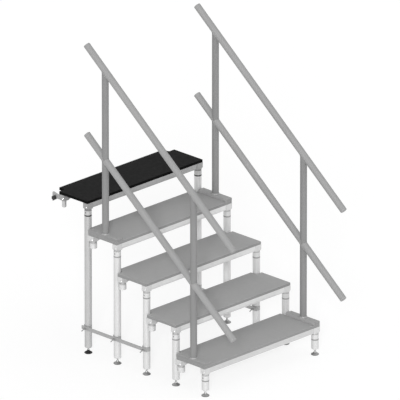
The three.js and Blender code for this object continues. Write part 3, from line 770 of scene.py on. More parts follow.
def shifted(made, x=0.0, y=0.0, z=0.0):
    return moved(made, Matrix.Translation((x, y, z)))


def rounded(made, radius, steps=ROUND_STEPS):
    """Rounds every sharp edge of a piece."""
    sharp = [e for e in made.edges if e.is_manifold and e.calc_face_angle(0) > SHARP_ABOVE]
    bmesh.ops.bevel(
        made,
        geom=sharp,
        offset=radius,
        offset_type="OFFSET",
        segments=steps,
        profile=0.5,
        affect="EDGES",
        clamp_overlap=True,
    )
    return made


def side_by_side(*shapes):
    """Several separate shapes as one."""
    made = bmesh.new()
    for shape in shapes:
        mesh = as_mesh(shape, "shape")
        made.from_mesh(mesh)
        bpy.data.meshes.remove(mesh)
    return made


def as_mesh(made, name):
    mesh = bpy.data.meshes.new(name)
    made.to_mesh(mesh)
    made.free()
    mesh.shade_smooth()
    mesh.set_sharp_from_angle(angle=SHARP_ABOVE)
    return mesh


def carved(base, joins=(), cuts=()):
    """Joins shapes to a base, then cuts others out of it."""
    host = bpy.data.objects.new("host", as_mesh(base, "host"))
    bpy.context.scene.collection.objects.link(host)
    helpers = []
    for operation, shapes in (("UNION", joins), ("DIFFERENCE", cuts)):
        for shape in shapes:
            helper = bpy.data.objects.new("helper", as_mesh(shape, "helper"))
            bpy.context.scene.collection.objects.link(helper)
            modifier = host.modifiers.new(operation, "BOOLEAN")
            modifier.operation = operation
            modifier.object = helper
            modifier.solver = "EXACT"
            helpers.append(helper)
    bpy.context.view_layer.update()
    result = bpy.data.meshes.new_from_object(host.evaluated_get(bpy.context.evaluated_depsgraph_get()))
    made = bmesh.new()
    made.from_mesh(result)
    bpy.data.meshes.remove(result)
    for used_up in (host, *helpers):
        mesh = used_up.data
        bpy.data.objects.remove(used_up)
        bpy.data.meshes.remove(mesh)
    bmesh.ops.remove_doubles(made, verts=made.verts, dist=1e-6)
    return facing_out(made)


def for_side(shape, side):
    """A shape of the right-hand side, mirrored where it goes on the left."""
    return shape if side == "right" else moved(shape, Matrix.Scale(-1, 4, (1, 0, 0)))


def at_leg(shape, side, step, x=0.0, y=0.0, z=0.0):
    """Puts a shape in place that was made about a leg's axis, its tread's top at Z = 0."""
    return shifted(shape, LEG_X[side] + x, LEG_Y[step] + y, TREAD_Z[step] + z)


def piece(name, shape, finish, body=STAIRS, stands_for=(), even_light=False):
    """Makes a piece of the stairs from a shape that is already in place."""
    mesh = as_mesh(shape, name)
    mesh.materials.append(FINISHES[finish])
    made = bpy.data.objects.new(name, mesh)
    bpy.context.scene.collection.objects.link(made)
    if even_light:
        weighted = made.modifiers.new("even_normals", "WEIGHTED_NORMAL")
        weighted.keep_sharp = True
    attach(made, body)
    if stands_for:
        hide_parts(*stands_for)
    return made


def oblong(left, right, front, back):
    """The corners of an oblong, in order."""
    return [(left, front), (right, front), (right, back), (left, back)]


def arc(centre, radius, start, sweep, steps):
    """Points along an arc, both ends included."""
    turns = [start + sweep * i / steps for i in range(steps + 1)]
    return [(centre[0] + radius * math.cos(t), centre[1] + radius * math.sin(t)) for t in turns]


# Tread boards
def board_outline():
    """The board's outline, its rear corners notched for the next legs."""
    radius = LEG_NOTCH_ROUND
    corner = (BOARD_NOTCH_X + radius, BOARD_SIDE_END + radius)
    right = [(HALF_BOARD, -BOARD_NOSE), (HALF_BOARD, BOARD_SIDE_END)]
    right += arc(corner, radius, 1.5 * math.pi, -math.pi / 2, LEG_NOTCH_STEPS)
    right.append((BOARD_NOTCH_X, GOING + BOARD_LAP))
    left = [(-x, y) for x, y in reversed(right)]
    return right + left


def tread_board(step):
    board = rounded(raised(board_outline(), -BOARD_THICKNESS, 0), BOARD_EDGE_ROUND)
    return shifted(board, MIDDLE_X, LEG_Y[step], TREAD_Z[step])


# Tread frames
def rail_outline():
    """The section of a frame rail: a channel with a groove along its face, open to the other rail."""
    top = -BOARD_THICKNESS
    bottom = top - RAIL_HEIGHT
    face = -RAIL_DEPTH / 2
    opening = RAIL_DEPTH / 2
    web = face + RAIL_WALL
    groove_top = top - RAIL_GROOVE_DROP + RAIL_GROOVE_WIDTH / 2
    groove_bottom = groove_top - RAIL_GROOVE_WIDTH
    return [
        (face, top),
        (face, groove_top),
        (face + RAIL_GROOVE_DEPTH, groove_top - RAIL_GROOVE_DEPTH / 2),
        (face + RAIL_GROOVE_DEPTH, groove_bottom + RAIL_GROOVE_DEPTH / 2),
        (face, groove_bottom),
        (face + RAIL_LEAN, bottom),
        (opening, bottom),
        (opening, bottom + RAIL_WALL),
        (web, bottom + RAIL_WALL),
        (web, top - RAIL_WALL),
        (opening, top - RAIL_WALL),
        (opening, top),
    ]


def frame_rail(step, is_rear):
    half = HALF_SPACING - CASTING_WIDTH / 2 + RAIL_SEAT
    turn = -1 if is_rear else 1
    outline = [(turn * y, z) for y, z in rail_outline()]
    rail = rounded(moved(raised(outline, -half, half), ALONG_X), RAIL_EDGE_ROUND, 2)
    back = REAR_CASTING_BACK if is_rear else 0
    return shifted(rail, MIDDLE_X, LEG_Y[step] + back, TREAD_Z[step])


def cross_members(step):
    """Four channels that open downwards, between the webs of the two rails."""
    half = CROSS_WIDTH / 2
    top = -BOARD_THICKNESS - RAIL_WALL
    bottom = -BOARD_THICKNESS - RAIL_HEIGHT + RAIL_WALL
    reach = RAIL_DEPTH / 2 - RAIL_WALL
    outline = [
        (-half, bottom),
        (-half, top),
        (half, top),
        (half, bottom),
        (half - RAIL_WALL, bottom),
        (half - RAIL_WALL, top - RAIL_WALL),
        (RAIL_WALL - half, top - RAIL_WALL),
        (RAIL_WALL - half, bottom),
    ]
    inner_width = 2 * HALF_SPACING - CASTING_WIDTH
    members = []
    for i in range(1, CROSS_MEMBERS + 1):
        member = moved(raised(outline, -reach, REAR_CASTING_BACK + reach), ALONG_Y)
        x = i * inner_width / (CROSS_MEMBERS + 1) - inner_width / 2
        members.append(shifted(rounded(member, CROSS_EDGE_ROUND, 2), x))
    return shifted(side_by_side(*members), MIDDLE_X, LEG_Y[step], TREAD_Z[step])


def casting_block():
    """A right-hand casting's block about its leg's axis, chamfered below its outer edge."""
    half = CASTING_WIDTH / 2
    outline = [
        (-half, CASTING_BOTTOM),
        (half - CASTING_CHAMFER, CASTING_BOTTOM),
        (half, CASTING_BOTTOM + CASTING_CHAMFER),
        (half, -BOARD_THICKNESS),
        (-half, -BOARD_THICKNESS),
    ]
    block = moved(raised(outline, -CASTING_DEPTH / 2, CASTING_DEPTH / 2), ALONG_Y)
    return rounded(block, CASTING_EDGE_ROUND)


def sleeve(is_stub):
    """The round sleeve under a casting, up to its neck. A stub is closed by a sunk cap."""
    edge = SLEEVE_EDGE_ROUND
    cap = LEG_RADIUS - STUB_CAP_WIDTH
    cap_z = SLEEVE_BOTTOM + STUB_CAP_DEPTH
    top = CASTING_BOTTOM - NECK_HEIGHT
    bottom = [(0, cap_z), (cap, cap_z), (cap, SLEEVE_BOTTOM)] if is_stub else [(0, SLEEVE_BOTTOM)]
    outside = [
        (LEG_RADIUS - edge, SLEEVE_BOTTOM),
        (LEG_RADIUS, SLEEVE_BOTTOM + edge),
        (LEG_RADIUS, top - edge),
        (LEG_RADIUS - edge, top),
        (NECK_RADIUS - edge, top),
        (NECK_RADIUS - edge, CASTING_BOTTOM),
        (0, CASTING_BOTTOM),
    ]
    return lathed(bottom + outside)


def sleeve_neck():
    """The narrower neck between a sleeve and its casting. Its finish is painted darker than the sleeve,
    painted shade under the casting.
    """
    edge = SLEEVE_EDGE_ROUND
    low = CASTING_BOTTOM - NECK_HEIGHT
    inner = NECK_RADIUS - edge
    outline = [(inner, low), (NECK_RADIUS, low), (NECK_RADIUS, CASTING_BOTTOM), (inner, CASTING_BOTTOM)]
    return lathed(outline, ring=True)


def bolt_seat():
    """The counterbore for a bolt in a casting's outer face."""
    outer = CASTING_WIDTH / 2
    seat = rod(BOLT_SEAT_RADIUS, outer - BOLT_SEAT_DEPTH, outer + OVERRUN)
    return shifted(moved(seat, LAID_ALONG_X), 0, -BOLT_AHEAD, -BOLT_DROP)


def lock_hole():
    """The locking screw's hole in a sleeve's outer side."""
    hole = rod(LOCK_RADIUS, LEG_RADIUS - LOCK_DEPTH, LEG_RADIUS + OVERRUN)
    return shifted(moved(hole, LAID_ALONG_X), z=-LOCK_DROP)


def leg_saddle():
    """The cradle behind a rear casting that bears on the next tread's leg."""
    half = SADDLE_WIDTH / 2
    front = CASTING_DEPTH / 2 - SADDLE_BITE
    back = GOING - REAR_CASTING_BACK - LEG_RADIUS + SADDLE_WRAP
    top = -BOARD_THICKNESS - SADDLE_DROP
    outline = oblong(-half, half, front, back)
    return rounded(raised(outline, CASTING_BOTTOM, top), SLEEVE_EDGE_ROUND)


def next_leg():
    """The room for the next tread's leg behind a rear casting."""
    room = rod(LEG_RADIUS + SADDLE_CLEARANCE, CASTING_BOTTOM - OVERRUN, 0, ROUND_FACES)
    return shifted(room, y=GOING - REAR_CASTING_BACK)


def casting_kinds():
    """The castings and the sleeves under them, each about its own axis and for the right-hand side."""
    return {
        "plain": carved(casting_block(), cuts=[bolt_seat()]),
        "saddled": carved(casting_block(), [leg_saddle()], [bolt_seat(), next_leg()]),
        "sleeve": carved(sleeve(False), cuts=[lock_hole()]),
        "stub": sleeve(True),
        "neck": sleeve_neck(),
    }


def at_casting(shape, side, step, row):
    """A copy of a shape on the axis of one of a tread's castings."""
    back = REAR_CASTING_BACK if row == "rear" else 0
    return at_leg(for_side(shape.copy(), side), side, step, y=back)


def socket_screw(radius):
    """A screw head with a hexagonal socket, its top face at Z = 0."""
    profile = [
        (0, -SCREW_LENGTH),
        (radius, -SCREW_LENGTH),
        (radius, -SCREW_CHAMFER),
        (radius - SCREW_CHAMFER, 0),
        (0, 0),
    ]
    head = lathed(profile, SMALL_ROUND_FACES)
    corners = arc((0, 0), KEY_ACROSS / math.sqrt(3), 0, 5 * math.pi / 3, 5)
    return carved(head, cuts=[raised(corners, -KEY_DEPTH, OVERRUN)])


def in_corners(step, shape, x, z, rows):
    """Copies of a screw on the outer side of a tread's castings."""
    copies = []
    for side in SIDES:
        for back in rows:
            placed = shifted(moved(shape.copy(), LAID_ALONG_X), x, back, z)
            copies.append(at_leg(for_side(placed, side), side, step))
    return side_by_side(*copies)


# Legs and feet
def leg(side, step):
    foot_z = LEG_FOOT_Z - TREAD_Z[step]
    top = SLEEVE_BOTTOM
    made = lathed(
        [
            (0, foot_z + SPINDLE_BORE_DEPTH),
            (SPINDLE_BORE, foot_z + SPINDLE_BORE_DEPTH),
            (SPINDLE_BORE, foot_z + PLUG_RECESS),
            (PLUG_RADIUS, foot_z + PLUG_RECESS),
            (PLUG_RADIUS, foot_z),
            (LEG_RADIUS - LEG_CHAMFER, foot_z),
            (LEG_RADIUS, foot_z + LEG_CHAMFER),
            (LEG_RADIUS, top),
            (SPIGOT_RADIUS, top),
            (SPIGOT_RADIUS, top + SPIGOT_LENGTH),
            (0, top + SPIGOT_LENGTH),
        ]
    )
    return at_leg(made, side, step)


def gasket(side, step):
    """The dark ring round the joint between a leg and its sleeve."""
    high = SLEEVE_BOTTOM + GASKET_OVERLAP
    low = high - GASKET_HEIGHT
    inner = LEG_RADIUS - GASKET_BITE
    made = lathed(
        [
            (inner, low),
            (GASKET_RADIUS - GASKET_ROUND, low),
            (GASKET_RADIUS, low + GASKET_ROUND),
            (GASKET_RADIUS, high - GASKET_ROUND),
            (GASKET_RADIUS - GASKET_ROUND, high),
            (inner, high),
        ],
        ring=True,
    )
    return at_leg(made, side, step)


def foot_bell():
    """The foot's body, hollowing up from its rim to its neck."""
    profile = [
        (0, FOOT_PAD_HEIGHT),
        (FOOT_RADIUS - FOOT_ROUND / 2, FOOT_PAD_HEIGHT),
        (FOOT_RADIUS, FOOT_PAD_HEIGHT + FOOT_ROUND / 2),
        (FOOT_RADIUS, FOOT_RIM - FOOT_ROUND / 2),
        (FOOT_RADIUS - FOOT_ROUND / 2, FOOT_RIM),
        (FOOT_SHOULDER_RADIUS, FOOT_SHOULDER_HEIGHT),
    ]
    for i in range(1, BELL_STEPS + 1):
        share = i / BELL_STEPS
        hollow = (FOOT_SHOULDER_RADIUS - FOOT_NECK_RADIUS) * math.sin(share * math.pi / 2)
        height = FOOT_SHOULDER_HEIGHT + share * (FOOT_NECK_HEIGHT - FOOT_SHOULDER_HEIGHT)
        profile.append((FOOT_SHOULDER_RADIUS - hollow, height))
    profile += [(SPINDLE_RADIUS, FOOT_TOP), (0, FOOT_TOP)]
    return lathed(profile)


def foot_pad():
    """The rubber ring that the foot stands on."""
    return lathed(
        [
            (0, 0),
            (FOOT_RADIUS - FOOT_ROUND, 0),
            (FOOT_RADIUS, FOOT_ROUND),
            (FOOT_RADIUS, FOOT_PAD_HEIGHT),
            (0, FOOT_PAD_HEIGHT),
        ]
    )


def threaded_spindle():
    """The spindle, with its thread as a ridge that climbs one pitch a turn."""
    made = bmesh.new()
    length = SPINDLE_TOP - SPINDLE_ROOT
    count = round(length / THREAD_PITCH * THREAD_ROWS)
    rows = []
    for row in range(count + 1):
        height = SPINDLE_ROOT + length * row / count
        ring = []
        for i in range(THREAD_FACES):
            share = i / THREAD_FACES
            phase = (height / THREAD_PITCH - share) % 1
            radius = SPINDLE_RADIUS - THREAD_DEPTH * abs(2 * phase - 1)
            turn = 2 * math.pi * share
            ring.append(made.verts.new((radius * math.cos(turn), radius * math.sin(turn), height)))
        rows.append(ring)
    span(made, rows)
    made.faces.new(rows[0][::-1])
    made.faces.new(rows[-1])
    return facing_out(made)


# Handrails
def beyond_post(radius, turn):
    """How far a tube's wall lies beyond the axis of a post that it is coped round."""
    return math.sqrt(TUBE_RADIUS**2 - (radius * math.cos(turn)) ** 2)


def post_top(radius, turn):
    """The upper end of a post, coped under the sloping rail."""
    return (radius * math.sin(turn) * math.sin(SLOPE) - beyond_post(radius, turn)) / math.cos(SLOPE)


def after_post(radius, turn):
    """The end of a sloping tube that starts at a post."""
    return (beyond_post(radius, turn) - radius * math.sin(turn) * math.sin(SLOPE)) / math.cos(SLOPE)


def before_post(radius, turn):
    """The end of a sloping tube that stops at a post."""
    return (-beyond_post(radius, turn) - radius * math.sin(turn) * math.sin(SLOPE)) / math.cos(SLOPE)


def square_end(radius, turn):
    return 0.0


def coped_tube(length, start=square_end, end=square_end):
    """A tube along Z whose ends follow what they meet."""
    made = bmesh.new()
    inner = TUBE_RADIUS - TUBE_WALL
    walls = ((TUBE_RADIUS, start, 0), (TUBE_RADIUS, end, length), (inner, end, length), (inner, start, 0))
    turns = [2 * math.pi * i / ROUND_FACES for i in range(ROUND_FACES)]
    rows = []
    for radius, shape, height in walls:
        corners = [(radius * math.cos(t), radius * math.sin(t), height + shape(radius, t)) for t in turns]
        rows.append([made.verts.new(corner) for corner in corners])
    span(made, rows, is_loop=True)
    return facing_out(made)


def weld(shape):
    """A rippled weld bead along a coped end."""
    made = bmesh.new()
    radius = TUBE_RADIUS
    turns = [2 * math.pi * i / WELD_STEPS for i in range(WELD_STEPS)]
    centres = [Vector((radius * math.cos(t), radius * math.sin(t), shape(radius, t))) for t in turns]
    rings = []
    for i, centre in enumerate(centres):
        along = (centres[(i + 1) % WELD_STEPS] - centres[i - 1]).normalized()
        outward = Vector((centre.x, centre.y, 0)).normalized()
        sideways = along.cross(outward).normalized()
        outward = sideways.cross(along)
        ripple = math.cos(2 * math.pi * i / WELD_RIPPLE_STEPS)
        bead = WELD_RADIUS * (1 + WELD_RIPPLE_SHARE * ripple)
        ring = []
        for k in range(WELD_FACES):
            turn = 2 * math.pi * k / WELD_FACES
            offset = outward * math.cos(turn) + sideways * math.sin(turn)
            ring.append(made.verts.new(centre + offset * bead))
        rings.append(ring)
    span(made, rings, is_loop=True)
    return facing_out(made)


def rail_cap(is_lower):
    """A plug closing a rail's end, its face square to the rail."""
    cap = lathed(
        [
            (0, 0),
            (TUBE_RADIUS - CAP_ROUND, 0),
            (TUBE_RADIUS - CAP_ROUND / 4, CAP_ROUND / 3),
            (TUBE_RADIUS, CAP_ROUND),
            (TUBE_RADIUS, CAP_LENGTH - CAP_SEAM),
            (TUBE_RADIUS - CAP_SEAM, CAP_LENGTH - CAP_SEAM),
            (TUBE_RADIUS - CAP_SEAM, CAP_LENGTH),
            (TUBE_RADIUS - TUBE_WALL, CAP_LENGTH),
            (TUBE_RADIUS - TUBE_WALL, CAP_PLUG),
            (0, CAP_PLUG),
        ]
    )
    return cap if is_lower else moved(cap, Matrix.Scale(-1, 4, (0, 0, 1)))


def on_slope(shape, side, along, drop=0.0):
    """Lays a shape up the slope. Along is measured from the lower post's axis."""
    laid = moved(shape, UP_THE_SLOPE)
    foot = Vector((LEG_X[side], POST_Y["lower"], TREAD_Z[1] + TOP_RAIL_HEIGHT - drop))
    return moved(laid, Matrix.Translation(foot + UP_SLOPE * along))


def shoe(side, step):
    """The raised plate at a tread's end that a post stands on."""
    outer = BOARD_SIDE_OVERHANG
    outline = oblong(outer - SHOE_WIDTH, outer, -BOARD_NOSE, BOARD_SIDE_END)
    plate = rounded(raised(outline, 0, SHOE_HEIGHT), SHOE_EDGE_ROUND)
    return at_leg(for_side(plate, side), side, step)


def collar(side, step):
    """The ring round the foot of a post, on its shoe."""
    inner = TUBE_RADIUS - CAP_SEAM
    made = lathed(
        [
            (inner, 0),
            (COLLAR_RADIUS, 0),
            (COLLAR_RADIUS, COLLAR_HEIGHT - COLLAR_ROUND),
            (COLLAR_RADIUS - COLLAR_ROUND / 3, COLLAR_HEIGHT - COLLAR_ROUND / 3),
            (COLLAR_RADIUS - COLLAR_ROUND, COLLAR_HEIGHT),
            (inner, COLLAR_HEIGHT),
        ],
        ring=True,
    )
    return at_leg(made, side, step, y=POST_SETBACK, z=SHOE_HEIGHT)


def shoe_screws(side, step, screw):
    """The two screws that hold a shoe down."""
    x = OUTWARD[side] * (BOARD_SIDE_OVERHANG - SHOE_WIDTH / 2)
    z = SHOE_HEIGHT + SHOE_SCREW_PROUD
    rows = (SHOE_SCREW_INSET - BOARD_NOSE, BOARD_SIDE_END - SHOE_SCREW_INSET)
    return side_by_side(*(at_leg(screw.copy(), side, step, x, y, z) for y in rows))


# Tie bars
def tie_bar():
    """A flat bar from the first tied leg's axis."""
    half = TIE_BAR_DEPTH / 2
    rear = (TIED_STEPS[-1] - TIED_STEPS[0]) * GOING + TIE_REAR_END
    outline = oblong(-TIE_FRONT_END, rear, -half, half)
    return rounded(moved(raised(outline, -TIE_OUTER_X, -TIE_INNER_X), ALONG_X), TIE_EDGE_ROUND)


def claw():
    """Half a ring round a leg, open on the right."""
    outer = arc((0, 0), CLAW_OUTER, math.pi - CLAW_REACH, 2 * CLAW_REACH, CLAW_STEPS)
    inner = arc((0, 0), CLAW_INNER, math.pi + CLAW_REACH, -2 * CLAW_REACH, CLAW_STEPS)
    return rounded(raised(outer + inner, -CLAW_HEIGHT / 2, CLAW_HEIGHT / 2), CLAW_EDGE_ROUND, 2)


def lever_lugs():
    """Two round-ended ears beside a claw that carry its lever's pin."""
    near = LEVER_BARREL_HALF + LEVER_CLEARANCE
    root = WELD_BITE - TIE_OUTER_X
    outline = [(root, -LUG_HALF_HEIGHT), (root, LUG_HALF_HEIGHT)]
    for i in range(LUG_STEPS + 1):
        turn = math.pi / 2 + math.pi * i / LUG_STEPS
        outline.append((LUG_BEYOND * math.cos(turn) - LEVER_PIVOT_X, LUG_HALF_HEIGHT * math.sin(turn)))
    lugs = []
    for low, high in ((near, near + LUG_THICKNESS), (-near - LUG_THICKNESS, -near)):
        lug = rounded(moved(raised(outline, low, high), ALONG_Y), LUG_EDGE_ROUND, 2)
        lugs.append(shifted(lug, z=-LEVER_DROP))
    return lugs


def whole_tie_bar(side):
    joins = []
    for step in TIED_STEPS:
        back = (step - TIED_STEPS[0]) * GOING
        joins += [shifted(shape, y=back) for shape in (claw(), *lever_lugs())]
    return shifted(carved(tie_bar(), joins), LEG_X[side], LEG_Y[TIED_STEPS[0]], TIE_Z)


def tie_lever(side, step):
    """A claw's lever: barrel, riveted pin and a handle that droops outwards."""
    barrel = rod(LEVER_BARREL_RADIUS, -LEVER_BARREL_HALF, LEVER_BARREL_HALF)
    rivet = LEVER_PIN_HALF - LEVER_RIVET_HEIGHT
    rivet_face = LEVER_RIVET_RADIUS * 2 / 3
    pin = lathed(
        [
            (0, -LEVER_PIN_HALF),
            (rivet_face, -LEVER_PIN_HALF),
            (LEVER_RIVET_RADIUS, -rivet),
            (LEVER_PIN_RADIUS, -rivet),
            (LEVER_PIN_RADIUS, rivet),
            (LEVER_RIVET_RADIUS, rivet),
            (rivet_face, LEVER_PIN_HALF),
            (0, LEVER_PIN_HALF),
        ],
        SMALL_ROUND_FACES,
    )
    tip = LEVER_LENGTH - LEVER_HANDLE_RADIUS
    profile = [(0, 0), (LEVER_ROOT_RADIUS, 0), (LEVER_ROOT_RADIUS, LEVER_BARREL_RADIUS)]
    for i in range(ROUND_STEPS + 1):
        turn = math.pi / 2 * i / ROUND_STEPS
        profile.append((LEVER_HANDLE_RADIUS * math.cos(turn), tip + LEVER_HANDLE_RADIUS * math.sin(turn)))
    profile[-1] = (0, LEVER_LENGTH)
    outward = Matrix.Rotation(-math.pi / 2 - LEVER_DROOP, 4, "Y")
    handle = moved(lathed(profile, SMALL_ROUND_FACES), outward)
    eye = rounded(moved(barrel, LAID_ALONG_Y), LUG_EDGE_ROUND, 2)
    made = carved(eye, [handle, moved(pin, LAID_ALONG_Y)])
    return shifted(made, LEG_X[side] - LEVER_PIVOT_X, LEG_Y[step], TIE_Z - LEVER_DROP)


# Couplers
def coupler(side):
    """An arm on the rear casting's face, spreading into an upright jaw."""
    half = COUPLER_ARM_WIDTH / 2
    cut = COUPLER_ARM_CHAMFER
    top = -COUPLER_ARM_TOP
    bottom = top - COUPLER_ARM_HEIGHT
    end = COUPLER_ARM_LENGTH
    arm_outline = [
        (-half, bottom + cut),
        (cut - half, bottom),
        (half - cut, bottom),
        (half, bottom + cut),
        (half, top - cut),
        (half - cut, top),
        (cut - half, top),
        (-half, top - cut),
    ]
    arm = rounded(moved(raised(arm_outline, 0, end), ALONG_Y), COUPLER_EDGE_ROUND, 2)
    jaw_outline = [
        (end - cut, bottom + COUPLER_EDGE_ROUND),
        (end + JAW_LENGTH, bottom - JAW_BOTTOM_DROP),
        (end + JAW_LENGTH, top + JAW_TOP_RISE),
        (end - cut, top - COUPLER_EDGE_ROUND),
    ]
    jaw = moved(raised(jaw_outline, -JAW_THICKNESS / 2, JAW_THICKNESS / 2), ALONG_X)
    bore = moved(rod(STUD_RADIUS + KNOB_SEAT, -JAW_THICKNESS, JAW_THICKNESS), LAID_ALONG_X)
    bore = shifted(bore, y=end + KNOB_SETBACK, z=-KNOB_DROP)
    made = carved(rounded(jaw, COUPLER_EDGE_ROUND), [arm], [bore])
    return at_leg(for_side(made, side), side, TOP_STEP, y=TOP_CASTING_REAR)


def clamp_knob(side):
    """A six-lobed knob outside the jaw, its stud through the jaw."""
    outline = []
    for i in range(KNOB_POINTS):
        turn = 2 * math.pi * i / KNOB_POINTS
        dip = (1 - math.cos(KNOB_LOBES * turn)) / 2
        radius = KNOB_RADIUS - KNOB_LOBE_DEPTH * dip
        outline.append((radius * math.cos(turn), radius * math.sin(turn)))
    seat = JAW_THICKNESS / 2 + KNOB_SEAT
    head = rounded(raised(outline, seat, seat + KNOB_LENGTH), KNOB_EDGE_ROUND)
    stud = rod(STUD_RADIUS, -JAW_THICKNESS / 2 - STUD_PROUD, seat + OVERRUN)
    made = for_side(moved(carved(head, [stud]), LAID_ALONG_X), side)
    back = TOP_CASTING_REAR + COUPLER_ARM_LENGTH + KNOB_SETBACK
    return at_leg(made, side, TOP_STEP, y=back, z=-KNOB_DROP)


def coupling_pin(side):
    """The pin that drops into the stage's socket, with a rounded tip and a groove."""
    tip = PIN_TIP_ROUND - PIN_LENGTH
    profile = [(0, -PIN_LENGTH)]
    profile += arc((PIN_RADIUS - PIN_TIP_ROUND, tip), PIN_TIP_ROUND, -math.pi / 2, math.pi / 2, PIN_TIP_STEPS)
    profile += [
        (PIN_RADIUS, -PIN_GROOVE_DROP - PIN_GROOVE),
        (PIN_RADIUS - PIN_GROOVE, -PIN_GROOVE_DROP),
        (PIN_RADIUS, PIN_GROOVE - PIN_GROOVE_DROP),
        (PIN_RADIUS, PIN_SEAT),
        (0, PIN_SEAT),
    ]
    return at_leg(lathed(profile), side, TOP_STEP, y=REAR_CASTING_BACK, z=CASTING_BOTTOM)


def build_treads():
    kinds = casting_kinds()
    bolt = socket_screw(BOLT_RADIUS)
    lock = socket_screw(LOCK_SCREW_RADIUS)
    for step in STEPS:
        is_top = step == TOP_STEP
        tone = "top_" if is_top else ""
        # The first tread's rails take the darker painted shade copy of the frame aluminium
        rails = "painted_shade_first_frame" if step == STEPS[0] else tone + "frame"
        paint = "black" if is_top else "grey"
        node = f"tread_board_{step}"
        board = tread_board(step)
        piece(f"board_{step}", board, paint + "_board", stands_for=[node], even_light=True)
        node = f"tread_frame_{step}"
        front = frame_rail(step, False)
        piece(f"front_rail_{step}", front, rails, stands_for=[node], even_light=True)
        piece(f"rear_rail_{step}", frame_rail(step, True), rails, even_light=True)
        piece(f"cross_members_{step}", cross_members(step), "cross", even_light=True)
        for side in SIDES:
            for row in ("front", "rear"):
                end = f"{side}_{step}"
                is_rear = row == "rear"
                block = kinds["saddled" if is_rear and not is_top else "plain"]
                placed = at_casting(block, side, step, row)
                piece(f"{row}_casting_{end}", placed, tone + "casting", even_light=True)
                if is_rear and is_top:
                    continue
                # A neck takes a finish painted darker than its sleeve, painted shade under the casting
                for part, kind in (("sleeve", "stub" if is_rear else "sleeve"), ("neck", "neck")):
                    placed = at_casting(kinds[kind], side, step, row)
                    piece(f"{row}_{part}_{end}", placed, tone + part)
        bolt_x = CASTING_WIDTH / 2 - BOLT_SEAT_DEPTH + SCREW_LENGTH
        bolt_rows = (-BOLT_AHEAD, REAR_CASTING_BACK - BOLT_AHEAD)
        bolts = in_corners(step, bolt, bolt_x, -BOLT_DROP, bolt_rows)
        piece(f"casting_bolts_{step}", bolts, "bolt")
        lock_x = LEG_RADIUS - LOCK_DEPTH + SCREW_LENGTH
        locks = in_corners(step, lock, lock_x, -LOCK_DROP, (0,))
        piece(f"leg_lock_screws_{step}", locks, "lock")
    for shape in (*kinds.values(), bolt, lock):
        shape.free()


def build_legs():
    for step in STEPS:
        is_top = step == TOP_STEP
        for side in SIDES:
            end = f"{side}_{step}"
            # Painted light: the top tread's right leg takes the lighter leg finish rather than top_leg, to
            # lift it out of the shade under the treads
            finish = "top_leg" if is_top and side == "left" else "leg"
            piece(f"leg_tube_{end}", leg(side, step), finish, stands_for=[f"leg_{end}"])
            ring = "black_gasket" if is_top else "gasket"
            piece(f"leg_gasket_{end}", gasket(side, step), ring)
            body = f"foot_{end}"
            bell = "black_foot" if is_top else "foot"
            place = (LEG_X[side], LEG_Y[step], FLOOR_Z)
            piece(f"foot_bell_{end}", shifted(foot_bell(), *place), bell, body, stands_for=[body])
            piece(f"foot_pad_{end}", shifted(foot_pad(), *place), "pad", body)
            piece(f"foot_spindle_{end}", shifted(threaded_spindle(), *place), "spindle", body)


def build_handrails():
    screw = socket_screw(SHOE_SCREW_RADIUS)
    for side in SIDES:
        for where, step in POST_STEPS.items():
            end = f"{side}_{where}"
            node = f"post_shoe_{end}"
            piece(f"shoe_{end}", shoe(side, step), "shoe", stands_for=[node], even_light=True)
            piece(f"shoe_screws_{end}", shoe_screws(side, step, screw), "shoe")
            piece(f"post_collar_{end}", collar(side, step), "collar")
            place = Vector((LEG_X[side], POST_Y[where], TREAD_Z[step]))
            post = coped_tube(TOP_RAIL_HEIGHT - SHOE_HEIGHT, end=post_top)
            post = shifted(post, *place.xy, place.z + SHOE_HEIGHT)
            piece(f"post_tube_{end}", post, "post", stands_for=[f"post_{end}"])
            top_weld = shifted(weld(post_top), *place.xy, place.z + TOP_RAIL_HEIGHT)
            along = SLOPED_SPAN if where == "upper" else 0
            ends = (before_post, after_post)
            knee_welds = [on_slope(weld(shape), side, along, KNEE_RAIL_DROP) for shape in ends]
            piece(f"post_welds_{end}", side_by_side(top_weld, *knee_welds), "rail")
        low_end = CAP_LENGTH - RAIL_LEAD
        tube = on_slope(coped_tube(RAIL_LENGTH - 2 * CAP_LENGTH), side, low_end)
        piece(f"top_rail_tube_{side}", tube, "rail", stands_for=[f"top_rail_{side}"])
        knee_parts = {
            "lower": (low_end, coped_tube(-low_end, end=before_post)),
            "middle": (0, coped_tube(SLOPED_SPAN, start=after_post, end=before_post)),
            "upper": (SLOPED_SPAN, coped_tube(RAIL_TAIL - CAP_LENGTH, start=after_post)),
        }
        for part, (along, tube) in knee_parts.items():
            placed = on_slope(tube, side, along, KNEE_RAIL_DROP)
            node = f"knee_rail_{side}_{part}"
            piece(f"knee_tube_{side}_{part}", placed, "rail", stands_for=[node])
        for level, drop in (("top", 0), ("knee", KNEE_RAIL_DROP)):
            low_cap = on_slope(rail_cap(True), side, -RAIL_LEAD, drop)
            high_cap = on_slope(rail_cap(False), side, SLOPED_SPAN + RAIL_TAIL, drop)
            piece(f"{level}_rail_caps_{side}", side_by_side(low_cap, high_cap), "cap")
    screw.free()


def build_ties():
    for side in SIDES:
        bar = whole_tie_bar(side)
        piece(f"tie_{side}", bar, "tie", stands_for=[f"tie_bar_{side}"], even_light=True)
        for step in TIED_STEPS:
            body = f"tie_lever_{side}_{step}"
            lever = tie_lever(side, step)
            piece(f"claw_lever_{side}_{step}", lever, "lever", body, stands_for=[body])


